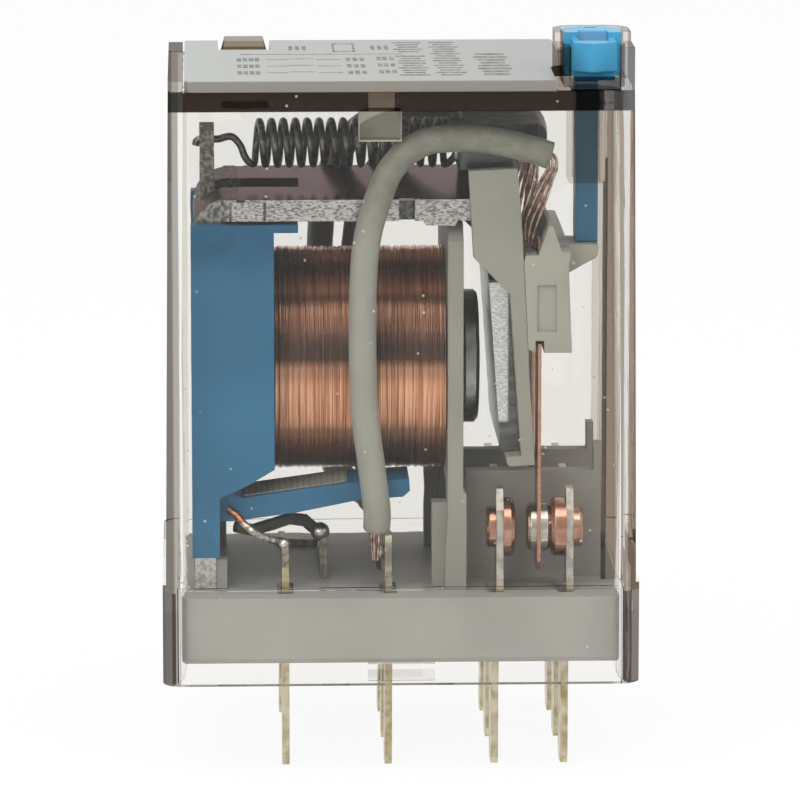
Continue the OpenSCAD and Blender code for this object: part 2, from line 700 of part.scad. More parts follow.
// Core: pole disc, shank and riveted tail in one turned piece
module core() {
    e = 0.2;
    l = disc_face - leg_x;
    color("#5A5A5C") translate([disc_face, 0, axis_z]) rotate([0, -90, 0]) rotate_extrude()
        polygon([[0, 0], [disc_r - e, 0], [disc_r, e], [disc_r, disc_t - e], [disc_r - e, disc_t],
            [core_r, disc_t], [core_r, disc_face - leg_in - fit],
            [core_tail_r, disc_face - leg_in - fit], [core_tail_r, l - e], [core_tail_r - e, l],
            [0, l]]);
}

// Bobbin: barrel and right flange in one moulding, the flange reaching to the base
module bobbin() {
    half = flange_w / 2;
    z0 = floor_z + fit;
    z1 = arm_z - 0.25;
    color(GREY) difference() {
        union() {
            translate([leg_in + 2 * fit, 0, axis_z]) rotate([0, 90, 0])
                cylinder(r = barrel_r, h = flange_x - leg_in);
            translate([flange_x + flange_t / 2, 0, 0]) upright(flange_t) polygon([[-half, z0],
                [half, z0], [half, z1 - 1], [half - 1, z1], [1 - half, z1], [-half, z1 - 1]]);
            // Foot, with two buttresses towards the coil
            translate([flange_x + flange_t / 2, 0, floor_z])
                cube([flange_t, flange_w * 0.7, 1.1], center = true);
            for (s = [-1, 1]) {
                translate([0, s * (half - 1.3), 0]) across(1.2) polygon([[flange_x - 0.9, z0],
                    [flange_x + 0.1, z0], [flange_x + 0.1, z0 + 5], [flange_x - 0.9, z0 + 5]]);
                // Thicker lower end
                translate([0, s * (half - 1), 0]) across(2) polygon([[flange_x - 0.15, z0],
                    [flange_x + flange_t + 0.2, z0], [flange_x + flange_t + 0.2, z0 + 5.6],
                    [flange_x + flange_t - 0.1, z0 + 5.9], [flange_x + 0.1, z0 + 5.9],
                    [flange_x - 0.15, z0 + 2]]);
            }
        }
        translate([leg_x, 0, axis_z]) rotate([0, 90, 0]) cylinder(r = core_r + fit, h = 30);
        // The flange stands on two legs; the space under the winding is open
        translate([flange_x + flange_t / 2, 0, 0]) upright(flange_t + 3)
            polygon([[-half + 2, z0 + 1.4], [half - 2, z0 + 1.4], [half - 2, z0 + 4.9],
                [half - 3, z0 + 5.9], [3 - half, z0 + 5.9], [2 - half, z0 + 4.9]]);
    }
}

module winding() {
    color(COPPER) translate([wind_x0 + fit, 0, axis_z]) rotate([0, 90, 0]) difference() {
        cylinder(r = wind_r, h = flange_x - wind_x0 - 2 * fit);
        translate([0, 0, -1]) cylinder(r = barrel_r + fit, h = 20);
    }
}

// Blue clip: closes the coil at the leg, covers its edges and carries the lead arm
arm_w = 3.9;
arm_y = -row_pitch + 0.1 + arm_w / 2;
tape_x = clip_x + 2.95;
tape_x1 = com_x - 2.35;

module coil_clip() {
    half = clip_half;
    z1 = arm_z - 0.15;
    x1 = com_x + 1.25;
    color(BLUE) difference() {
        union() {
            across(2 * half) polygon([[clip_x, axis_z - 10.55], [leg_in + 0.2, axis_z - 10.55],
                [leg_in + 0.2, axis_z - 7.05], [wind_x0 - 1.6, axis_z - 6.3],
                [wind_x0, axis_z - 5.35], [wind_x0, z1], [clip_x, z1]]);
            // Arm under the coil, behind the front sleeve
            translate([0, arm_y, 0]) across(arm_w) polygon([[clip_x + 1.5, axis_z - 6.6],
                [tape_x, axis_z - 7.2], [x1 - 3.55, axis_z - 6.35], [x1, axis_z - 6.15],
                [x1 + 0.05, axis_z - 6.85], [x1 - 0.35, axis_z - 7.2], [x1 - 3.05, axis_z - 7.4],
                [coil_x + 0.7, axis_z - 8.1], [clip_x + 2.3, axis_z - 8.6],
                [clip_x + 1.5, axis_z - 8.6]]);
            // Lip under the yoke
            translate([wind_x0 - 0.2, -half, z1 - 0.45]) cube([1.6, 2 * half, 0.45]);
        }
        // Room for the leg, the barrel and the bend of the yoke
        translate([leg_x - 5 + yoke_t + fit, 0, 20]) cube([10, leg_w + 2 * fit, 50], center = true);
        translate([leg_x, 0, axis_z]) rotate([0, 90, 0]) cylinder(r = barrel_r + fit, h = 10);
        translate([leg_x + 2.2, -leg_w / 2 - fit, arm_z - 0.8]) rotate([0, -45, 0])
            translate([-3, 0, 0]) cube([3, leg_w + 2 * fit, 3]);
    }
}

// Insulating tape on the arm
module arm_tape() {
    low = axis_z - 7.19 + fit;
    high = axis_z - 6.35 + fit;
    color("#8E8E88") translate([0, arm_y, 0]) across(arm_w - 0.4) polygon([[tape_x + 0.05, low],
        [tape_x1, high], [tape_x1, high + 0.1], [tape_x + 0.05, low + 0.1]]);
}

// Outline of a blade below the base, with its chamfered tip
module blade_outline(z1) {
    c = 0.45;
    w = blade_w / 2;
    polygon([[c - w, 0], [w - c, 0], [w, c * 1.4], [w, z1], [-w, z1], [-w, c * 1.4]]);
}

module com_terminal(y) {
    w = blade_w / 2;
    z1 = floor_z + com_h;
    color(GOLD) translate([com_x, y, 0]) upright(blade_t) union() {
        blade_outline(floor_z + 0.9);
        polygon([[-w, floor_z], [w * 0.7, floor_z], [w * 0.7, z1 - 0.4], [w * 0.5, z1],
            [-w * 0.6, z1], [-w * 0.8, z1 - 0.4], [-w * 0.8, floor_z + 0.9], [-w, floor_z + 0.9]]);
    }
}

// Terminal of a fixed contact: blade, sideways step inside the base, tapered strip
module contact_terminal(x, y) {
    w = blade_w / 2;
    z1 = floor_z + strip_h;
    color(GOLD) translate([0, y, 0]) difference() {
        union() {
            translate([x, 0, 0]) upright(blade_t) blade_outline(floor_z - 1.2);
            translate([x + strip_step, 0, 0]) upright(blade_t) polygon([[-w, floor_z - 1.7],
                [w, floor_z - 1.7], [w, floor_z + 0.85], [w * 0.85, floor_z + 0.85],
                [w * 0.85, contact_z + 1.2], [w * 0.4, z1], [-w * 0.4, z1],
                [-w * 0.85, contact_z + 1.2], [-w * 0.85, floor_z + 0.85],
                [-w, floor_z + 0.85]]);
        }
        translate([x - 1, 0, contact_z]) rotate([0, 90, 0]) cylinder(r = shank_r + fit, h = 3);
    }
}

module coil_terminal_a() {
    w = blade_w / 2;
    z1 = floor_z + coil_tag_h;
    color(GOLD) translate([coil_x, -row_pitch, 0]) upright(blade_t) union() {
        blade_outline(floor_z + 0.9);
        polygon([[-w * 0.8, floor_z], [w * 0.4, floor_z], [w * 0.4, z1], [-w * 0.6, z1],
            [-w * 0.8, z1 - 0.3]]);
    }
}

// The rear coil terminal runs forward on the base to a tag where the lead reaches it
module coil_terminal_b() {
    tag_x = coil_x + 2.3;
    tag_y = -row_pitch + 2.7;
    z0 = floor_z + fit;
    color(GOLD) union() {
        translate([coil_x, row_pitch, 0]) upright(blade_t) blade_outline(z0 + blade_t);
        translate([coil_x - blade_t / 2, row_pitch - blade_w / 2, z0])
            cube([tag_x - coil_x + blade_t, blade_w * 0.7, blade_t]);
        translate([tag_x, 0, 0]) upright(blade_t) polygon([[tag_y, z0], [row_pitch, z0],
            [row_pitch, z0 + 0.9], [tag_y + 1.9, z0 + 0.9], [tag_y + 1.9, z0 + coil_tag_h],
            [tag_y, z0 + coil_tag_h]]);
    }
}

module coil_lead_a() {
    color("#B98060") translate([coil_x, 0, 0]) cord(lead_a, bare_lead_d / 2);
}

module coil_lead_b() {
    color("#55504C") translate([coil_x, 0, 0]) cord(lead_b, covered_lead_d / 2);
}

module no_contact(y) {
    color(COPPER) translate([0, y, contact_z])
        rivet(no_face, -1, no_head_h, fixed_r, blade_t, tail_h, tail_r);
}

module nc_contact(y) {
    color(COPPER) translate([0, y, contact_z])
        rivet(nc_face, 1, nc_head_h, fixed_r, blade_t, tail_h, tail_r);
}

module sleeve(i) {
    color("#92938A") translate([com_x, 0, 0]) sleeve_tube(routes[i], sleeve_d / 2, sleeve_bore / 2);
}

module braid(i) {
    color(COPPER) translate([com_x, 0, 0]) cord(concat(uppers[i], routes[i], lowers[i]), braid_d / 2);
}

// Return spring: hooks at both ends of an open helix, one swept wire
function arc(x, z, r, a0, a1, n) =
    [for (i = [0 : n]) let (a = a0 + (a1 - a0) * i / n) [x + r * cos(a), 0, z + r * sin(a)]];

module return_spring() {
    steps = 12;
    n = spring_turns * steps;
    low = spring_z - spring_r;
    last = spring_x + spring_l;
    top = bracket_z + bracket_t + 0.2;
    helix = [for (i = [1 : n - 1]) [spring_x + spring_l * i / n,
        spring_r * sin(360 * i / steps), spring_z - spring_r * cos(360 * i / steps)]];
    left = concat(arc(tongue_x + 0.08, eye_z - 0.32, 0.32, 190, 90, 5), [[leg_in + 0.3, 0, eye_z],
        [leg_in + 0.7, 0, eye_z + 0.12], [leg_in + 1.05, 0, eye_z + 0.12],
        [leg_in + 1.35, 0, eye_z - 0.12], [leg_in + 1.6, 0, eye_z - 0.5],
        [spring_x - 0.6, 0, low + 0.6], [spring_x - 0.4, 0, low + 0.25],
        [spring_x - 0.18, 0.05, low + 0.04], [spring_x - 0.02, 0.28, low]]);
    right = concat([[last + 0.02, -0.28, low], [last + 0.18, -0.05, low + 0.04],
        [last + 0.42, 0, low + 0.2], [hook_x - 0.16, 0, low + 0.5], [hook_x, 0, low + 0.9],
        [hook_x, 0, bracket_z - 0.4]], arc(hook_x - 0.4, top, 0.4, 0, 130, 6));
    color("#6A6A66") cord(concat(left, helix, right), spring_wire / 2, 6);
}

// Armature: a plate in front of the pole, with a wide head over the end of the yoke
plate_z0 = floor_z + 8;
module armature() {
    z0 = plate_z0;
    head_z = pivot_z + 1.55;
    half = armature_w / 2;
    neck = half - 1.3;
    color("#7C8488") union() {
        swung(armature_swing) intersection() {
            across(armature_w) translate([plate_face, z0]) square([armature_t, pivot_z + 2 - z0]);
            // The plate narrows above the pole
            upright(40) polygon([[-half, z0 - 1], [half, z0 - 1], [half, pivot_z - 5],
                [neck, pivot_z - 3.8], [neck, pivot_z + 3], [-neck, pivot_z + 3],
                [-neck, pivot_z - 3.8], [-half, pivot_z - 5]]);
        }
        // Head, open in the middle for the spring's hook
        translate([0, 0, head_z]) linear_extrude(1.1) difference() {
            translate([pivot_x + 0.1, 0]) round_rect(3.5, yoke_w - 2.3, 0.3);
            translate([bracket_x - 1.2, -1]) square([2.3, 2]);
        }
    }
}

// Bracket on the head: carries the spring's hook at its left end, turned down at the right
module spring_bracket() {
    z0 = pivot_z + 2.65 + fit;
    right = bracket_x1;
    color("#5C5C58") difference() {
        union() {
            translate([0, 0, bracket_z]) linear_extrude(bracket_t)
                translate([(bracket_x + right - 0.4) / 2, 0])
                round_rect(right - 0.4 - bracket_x, bracket_w, 0.6);
            translate([right - 0.75, 0, bracket_z]) rotate([90, 0, 0])
                cylinder(r = bracket_t, h = bracket_w - 1.4, center = true);
            translate([plate_face - 0.43, -bracket_w / 2 + 0.6, z0])
                cube([2, bracket_w - 1.2, 0.6]);
        }
        translate([hook_x, 0, bracket_z - 1]) cylinder(r = spring_wire / 2 + 0.2, h = 3);
    }
}

module carrier() {
    cheek_top = pivot_z + 1.85;
    back = plate_face + armature_t + fit;
    half = yoke_w / 2 + run + cheek_t;
    color(GREY) swung(armature_swing) union() {
        // Back plate, and the foot that holds the plate's lower edge
        across(2 * half) polygon([[back, plate_z0 - 0.6], [back + 0.75, plate_z0 - 0.6],
            back_pt(pivot_z - 9), back_pt(pivot_z - 1), [back + 0.9, pivot_z + 1.38],
            [back, pivot_z + 1.38]]);
        across(2 * half) polygon([[plate_face + 0.25, plate_z0 - fit],
            [back + 0.1, plate_z0 - fit], [back + 0.1, plate_z0 - 0.6],
            [plate_face + 0.45, plate_z0 - 0.6], [plate_face + 0.25, plate_z0 - 0.4]]);
        // Cheeks beside the end of the yoke
        for (s = [-1, 1]) {
            translate([0, s * (half - cheek_t / 2), 0]) across(cheek_t) polygon([
                [plate_face - 0.8, cheek_top], [back + 0.9, cheek_top - 0.05],
                back_pt(pivot_z - 1), back_pt(pivot_z - 9), [back, pivot_z - 9],
                [back, pivot_z - 5.5], [plate_face - 0.85, pivot_z - 3.2]]);
        }
    }
}

// Back face of the carrier, which the contact block is seated on
function back_pt(z, out = 0) = [plate_face + armature_t + fit + 0.8
    + 0.15 * (z - pivot_z + 9) / 8 + out, z];
// A point of the X-Z plane turned open with the armature
function opened(p, a = armature_swing) = let (x = p[0] - pivot_x, z = p[1] - pivot_z)
    [pivot_x + x * cos(a) - z * sin(a), pivot_z + x * sin(a) + z * cos(a)];

// Contact block: grips the contact springs and has the lug under the button
module contact_block() {
    half = yoke_w / 2 + run + cheek_t;
    seat_low = opened(back_pt(pivot_z - 8.8, fit));
    seat_top = opened(back_pt(pivot_z - 3.7, fit));
    x = leaf_x;
    tip = plunger_x + 0.65;
    color("#A9A79D") difference() {
        union() {
            across(2 * half) polygon([seat_low, [seat_low[0] + 0.5, block_z0],
                [x + 1.86, block_z0], [x + 1.66, block_z0 + 5], [x + 1.81, block_z0 + 5.9],
                [x + 1.26, lug_top - 0.1], [x + 0.75, lug_top + 1.4], [x + 0.5, lug_top + 1.4],
                [x - 0.1, lug_top - 0.3], [seat_top[0] + 0.1, lug_top - 0.3], seat_top]);
            translate([0, plunger_y, 0]) across(plunger_w + 1.4) polygon([[x + 0.91, block_z0 + 4],
                [x + 1.71, block_z0 + 4.3], [tip - 0.1, lug_top - 0.75], [tip, lug_top - 0.5],
                [tip, lug_top], [x + 0.91, lug_top]]);
        }
        for (y = rows) {
            // Pocket that each spring bends in, and the slit that grips its root
            translate([leaf_x, y, block_z0]) cube([leaf_t + 0.3, leaf_w + 0.3, 1.4], center = true);
            translate([leaf_x, y, block_z0 + 5]) cube([leaf_t + 2 * fit, root_w + 2 * fit, 12],
                center = true);
        }
        // Sunk panel on the front and rear faces
        for (s = [-1, 1]) {
            translate([x + 0.41, s * (half + 0.3), block_z0 + 2.6])
                cube([1.1, 0.9, 2.7], center = true);
        }
    }
}

module leaf_root(y) {
    z0 = block_z0 + 0.75;
    color("#C88A70") translate([leaf_x, y, 0]) upright(leaf_t) polygon([[-root_w / 2, z0],
        [root_w / 2, z0], [root_w / 2, lug_top - 0.3], [0.8, lug_top + 0.5], [-0.8, lug_top + 0.5],
        [-root_w / 2, lug_top - 0.3]]);
}

module contact_leaf(y) {
    color("#C88A70") translate([leaf_x, y, 0]) difference() {
        upright(leaf_t) polygon([[-leaf_w / 2, leaf_low + 0.6], [-leaf_w / 2 + 0.6, leaf_low],
            [leaf_w / 2 - 0.6, leaf_low], [leaf_w / 2, leaf_low + 0.6], [leaf_w / 2, leaf_top],
            [-leaf_w / 2, leaf_top]]);
        translate([-1, 0, contact_z]) rotate([0, 90, 0]) cylinder(r = shank_r + fit, h = 2);
    }
}

module moving_contact(y) {
    color("#C9C6BC") translate([0, y, contact_z]) rivet(leaf_x - leaf_t / 2 - moving_head_h, 1,
        moving_head_h, moving_r, leaf_t, moving_head_h, moving_r);
}

// Test button: prow-shaped head with a finger recess, on a plunger above the lug
module test_button() {
    x0 = boss_mid - head_l / 2;
    x1 = x0 + head_l;
    z0 = top_z + button_rise + 0.55;
    z1 = z0 + head_h;
    back = boss_back - boss_wall - run;
    front = front_y + 0.1 + boss_wall + run;
    mid = boss_mid;
    color("#5FB3DE") difference() {
        union() {
            translate([0, 0, top_z + button_rise]) linear_extrude(z1 + 0.35 - top_z - button_rise)
                polygon([[x0, back - 3], [x1, back - 3], [x1, back - 0.9], [x1 - 0.9, back],
                    [x0 + 0.9, back], [x0, back - 0.9]]);
            translate([0, 0, z0]) linear_extrude(head_h) polygon([
                [mid - nose_l / 2, back - 0.9], [mid + nose_l / 2, back - 0.9],
                [mid + nose_l / 2, front + 0.7], [mid - 0.15, front],
                [mid - nose_l / 2, front + 0.7]]);
            // Neck under the nose, set back behind the low wall of the boss
            translate([mid - nose_l / 2 + 0.1, front + 0.8, top_z + button_rise])
                cube([nose_l - 0.2, back - 1 - front - 0.8, z0 + 0.1 - top_z - button_rise]);
            translate([plunger_x - plunger_l / 2, plunger_y - plunger_w / 2, plunger_end])
                cube([plunger_l, plunger_w, z0 - plunger_end + 0.1]);
        }
        // Finger recess and a small slot behind it
        translate([mid, back - 3.1, z1 + 1.2]) rotate([90, 0, 90]) linear_extrude(1.7, center = true)
            polygon([[-1.1, 0], [1.2, 0], [1.2, -0.7], [0.2, -1.8], [-0.3, -1.8], [-1.1, -1.1]]);
        translate([mid, back - 0.65, z1 + 0.3]) cube([0.7, 0.4, 0.6], center = true);
    }
}

cover();
label_plate();
base();
yoke();
core();
bobbin();
coil_clip();
winding();
arm_tape();
coil_terminal_a();
coil_terminal_b();
coil_lead_a();
coil_lead_b();
com_terminal(rows[0]);  // com_terminal_1
com_terminal(rows[1]);  // com_terminal_2
com_terminal(rows[2]);  // com_terminal_3
contact_terminal(no_x, rows[0]);  // no_terminal_1
contact_terminal(no_x, rows[1]);  // no_terminal_2
contact_terminal(no_x, rows[2]);  // no_terminal_3
contact_terminal(nc_x, rows[0]);  // nc_terminal_1
contact_terminal(nc_x, rows[1]);  // nc_terminal_2
contact_terminal(nc_x, rows[2]);  // nc_terminal_3
no_contact(rows[0]);  // no_contact_1
no_contact(rows[1]);  // no_contact_2
no_contact(rows[2]);  // no_contact_3
nc_contact(rows[0]);  // nc_contact_1
nc_contact(rows[1]);  // nc_contact_2
nc_contact(rows[2]);  // nc_contact_3
sleeve(0);  // sleeve_1
sleeve(1);  // sleeve_2
sleeve(2);  // sleeve_3
braid(0);  // braid_1
braid(1);  // braid_2
braid(2);  // braid_3
return_spring();
armature();
spring_bracket();
carrier();
contact_block();
leaf_root(rows[0]);  // leaf_root_1
leaf_root(rows[1]);  // leaf_root_2
leaf_root(rows[2]);  // leaf_root_3
contact_leaf(rows[0]);  // contact_leaf_1
contact_leaf(rows[1]);  // contact_leaf_2
contact_leaf(rows[2]);  // contact_leaf_3
moving_contact(rows[0]);  // moving_contact_1
moving_contact(rows[1]);  // moving_contact_2
moving_contact(rows[2]);  // moving_contact_3
test_button();
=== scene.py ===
import math

import bmesh
import bpy
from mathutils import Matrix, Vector


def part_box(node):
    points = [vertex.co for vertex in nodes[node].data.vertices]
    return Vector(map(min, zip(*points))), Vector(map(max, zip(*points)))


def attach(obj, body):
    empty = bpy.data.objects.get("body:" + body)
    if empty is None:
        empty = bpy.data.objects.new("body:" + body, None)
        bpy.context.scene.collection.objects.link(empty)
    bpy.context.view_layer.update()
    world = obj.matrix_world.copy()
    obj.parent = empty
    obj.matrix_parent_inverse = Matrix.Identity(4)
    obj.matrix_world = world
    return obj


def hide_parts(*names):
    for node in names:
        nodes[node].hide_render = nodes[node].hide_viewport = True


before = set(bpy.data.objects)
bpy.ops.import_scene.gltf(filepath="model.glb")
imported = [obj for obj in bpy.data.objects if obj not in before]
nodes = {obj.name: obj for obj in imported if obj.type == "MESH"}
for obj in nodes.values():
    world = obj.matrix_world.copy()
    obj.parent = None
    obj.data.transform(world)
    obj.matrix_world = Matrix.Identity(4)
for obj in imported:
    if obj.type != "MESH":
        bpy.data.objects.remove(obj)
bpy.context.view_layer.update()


# ---- View, light and floor --------------------------------------------------------------
# The relay stands on its blade tips on a pale table. A long lens looks at its front from a
# little above and a little to the left. Soft light comes from above and from the front.

def linear(code):
    """Linear colour of an sRGB hex value."""
    parts = [int(code[i:i + 2], 16) / 255 for i in (1, 3, 5)]
    return [c / 12.92 if c < 0.04045 else ((c + 0.055) / 1.055) ** 2.4 for c in parts] + [1.0]


def add(tree, kind, inputs=None, links=None, **settings):
    """Add a node with its settings, its fixed inputs and its links."""
    node = tree.nodes.new(kind)
    for name, value in settings.items():
        setattr(node, name, value)
    for name, value in (inputs or {}).items():
        node.inputs[name].default_value = value
    for name, socket in (links or {}).items():
        tree.links.new(socket, node.inputs[name])
    return node


scene = bpy.context.scene
scene.view_settings.view_transform = "Standard"

camera = bpy.data.objects.new("camera", bpy.data.cameras.new("camera"))
scene.collection.objects.link(camera)
scene.camera = camera
camera.data.lens = 265.5
camera.data.clip_start = 0.01
camera.location = (-0.01176, -0.34404, 0.08352)
middle_of_picture = Vector((0.00025, 0, 0.02034))
sight = middle_of_picture - camera.location
camera.rotation_euler = sight.to_track_quat("-Z", "Y").to_euler()

relay_middle = Vector((0, 0, 0.02))
for name, place, size, power in (
    ("light_above", (-0.05, -0.12, 0.55), 0.5, 2.4),
    ("light_front", (-0.35, -0.6, 0.35), 0.5, 2.2),
    ("light_right", (0.5, -0.3, 0.3), 0.4, 0.8),
):
    lamp = bpy.data.objects.new(name, bpy.data.lights.new(name, "AREA"))
    scene.collection.objects.link(lamp)
    lamp.data.size = size
    lamp.data.energy = power
    lamp.location = place
    beam = relay_middle - lamp.location
    lamp.rotation_euler = beam.to_track_quat("-Z", "Y").to_euler()

# The camera sees white. Metal mirrors white from above and behind, and the darker room in
# front of the table. Rays that pass clear plastic meet a pale room all round.
world = bpy.data.worlds.new("studio")
scene.world = world
world.use_nodes = True
tree = world.node_tree
tree.nodes.clear()
where = add(tree, "ShaderNodeTexCoord")
axes = add(tree, "ShaderNodeSeparateXYZ", links={0: where.outputs["Generated"]})
upward = add(tree, "ShaderNodeMapRange", {"From Min": 0.38, "From Max": 0.6},
             {"Value": axes.outputs["Z"]}, interpolation_type="SMOOTHSTEP")
behind = add(tree, "ShaderNodeMapRange", {"From Min": -0.1, "From Max": 0.35},
             {"Value": axes.outputs["Y"]}, interpolation_type="SMOOTHSTEP")
pale = add(tree, "ShaderNodeMath", links={0: upward.outputs[0], 1: behind.outputs[0]},
           operation="MAXIMUM")
rays = add(tree, "ShaderNodeLightPath")
front = add(tree, "ShaderNodeMix", {"A": linear("#3C3A38"), "B": linear("#CFCBC5")},
            {"Factor": rays.outputs["Is Transmission Ray"]}, data_type="RGBA")
room = add(tree, "ShaderNodeMix", {"B": linear("#F2F1EE")},
           {"Factor": pale.outputs[0], "A": front.outputs["Result"]}, data_type="RGBA")
mirrored = add(tree, "ShaderNodeMath", links={
    0: rays.outputs["Is Glossy Ray"], 1: rays.outputs["Is Transmission Ray"]},
    operation="MAXIMUM")
soft = add(tree, "ShaderNodeBackground", {"Color": linear("#FFFFFF"), "Strength": 0.42})
seen = add(tree, "ShaderNodeBackground", {"Strength": 1.0}, {"Color": room.outputs["Result"]})
white = add(tree, "ShaderNodeBackground", {"Color": linear("#FFFFFF"), "Strength": 1.0})
first = add(tree, "ShaderNodeMixShader", links={
    0: mirrored.outputs[0], 1: soft.outputs[0], 2: seen.outputs[0]})
last = add(tree, "ShaderNodeMixShader", links={
    0: rays.outputs["Is Camera Ray"], 1: first.outputs[0], 2: white.outputs[0]})
add(tree, "ShaderNodeOutputWorld", links={"Surface": last.outputs[0]})

half_table = 2.0
shape = bmesh.new()
bmesh.ops.create_grid(shape, x_segments=1, y_segments=1, size=half_table)
mesh = bpy.data.meshes.new("floor")
shape.to_mesh(mesh)
shape.free()
floor = bpy.data.objects.new("floor", mesh)
scene.collection.objects.link(floor)
# The table is seen as white, and only a small share of its matt paint shows the relay's shadow
table = bpy.data.materials.new("white_table")
table.use_nodes = True
tree = table.node_tree
tree.nodes.clear()
rays = add(tree, "ShaderNodeLightPath")
seen = add(tree, "ShaderNodeMath", links={
    0: rays.outputs["Is Camera Ray"], 1: rays.outputs["Is Glossy Ray"]}, operation="MAXIMUM")
seen = add(tree, "ShaderNodeMath", links={
    0: seen.outputs[0], 1: rays.outputs["Is Transmission Ray"]}, operation="MAXIMUM")
white_share = 0.93
share = add(tree, "ShaderNodeMath", {1: white_share}, {0: seen.outputs[0]},
            operation="MULTIPLY")
paint = add(tree, "ShaderNodeBsdfDiffuse", {"Color": linear("#F4F3F0")})
# The front of the cover mirrors the white table only up to some centimetres before the relay
white_until, dark_from = -0.05, -0.075
where = add(tree, "ShaderNodeTexCoord")
axes = add(tree, "ShaderNodeSeparateXYZ", links={0: where.outputs["Object"]})
far = add(tree, "ShaderNodeMapRange", {"From Min": white_until, "From Max": dark_from},
          {"Value": axes.outputs["Y"]}, interpolation_type="SMOOTHSTEP")
mirror = add(tree, "ShaderNodeMath", links={
    0: rays.outputs["Is Glossy Ray"], 1: rays.outputs["Is Transmission Ray"]},
    operation="SUBTRACT", use_clamp=True)
mirror = add(tree, "ShaderNodeMath", links={0: mirror.outputs[0], 1: far.outputs[0]},
             operation="MULTIPLY")
shown = add(tree, "ShaderNodeMix", {"A": linear("#FFFFFF"), "B": linear("#3C3A38")},
            {"Factor": mirror.outputs[0]}, data_type="RGBA")
glow = add(tree, "ShaderNodeEmission", {"Strength": 1.0}, {"Color": shown.outputs["Result"]})
both = add(tree, "ShaderNodeMixShader", links={
    0: share.outputs[0], 1: paint.outputs[0], 2: glow.outputs[0]})
add(tree, "ShaderNodeOutputMaterial", links={"Surface": both.outputs[0]})
mesh.materials.append(table)


# ---- Cover ------------------------------------------------------------------------------
# One moulding of clear, slightly smoky polycarbonate: box, skirt, button boss, ribs and
# snap lips. It is snapped over the base. Its corners and edges look dark and brown.

def dress(material, *names):
    """Give CAD nodes a material."""
    for name in names:
        for slot in nodes[name].material_slots:
            slot.material = material


def blank(name):
    """A new material with an empty tree, and its output."""
    material = bpy.data.materials.new(name)
    material.use_nodes = True
    material.node_tree.nodes.clear()
    output = add(material.node_tree, "ShaderNodeOutputMaterial")
    return material, material.node_tree, output


def within(tree, limits):
    """1 between sharp limits in millimetres on some axes, and 0 elsewhere."""
    zone = None
    for axis, low, high in limits:
        inside = add(tree, "ShaderNodeMath", {1: (low + high) / 2000, 2: (high - low) / 2000},
                     {0: axis}, operation="COMPARE").outputs[0]
        zone = inside if zone is None else add(
            tree, "ShaderNodeMath", links={0: zone, 1: inside}, operation="MULTIPLY").outputs[0]
    return zone


clear, tree, output = blank("clear_polycarbonate")
where = add(tree, "ShaderNodeTexCoord")
axes = add(tree, "ShaderNodeSeparateXYZ", links={0: where.outputs["Object"]})
along, depth, height = (axes.outputs[name] for name in ("X", "Y", "Z"))
across = add(tree, "ShaderNodeMath", links={0: along}, operation="ABSOLUTE").outputs[0]
deep = add(tree, "ShaderNodeMath", links={0: depth}, operation="ABSOLUTE").outputs[0]
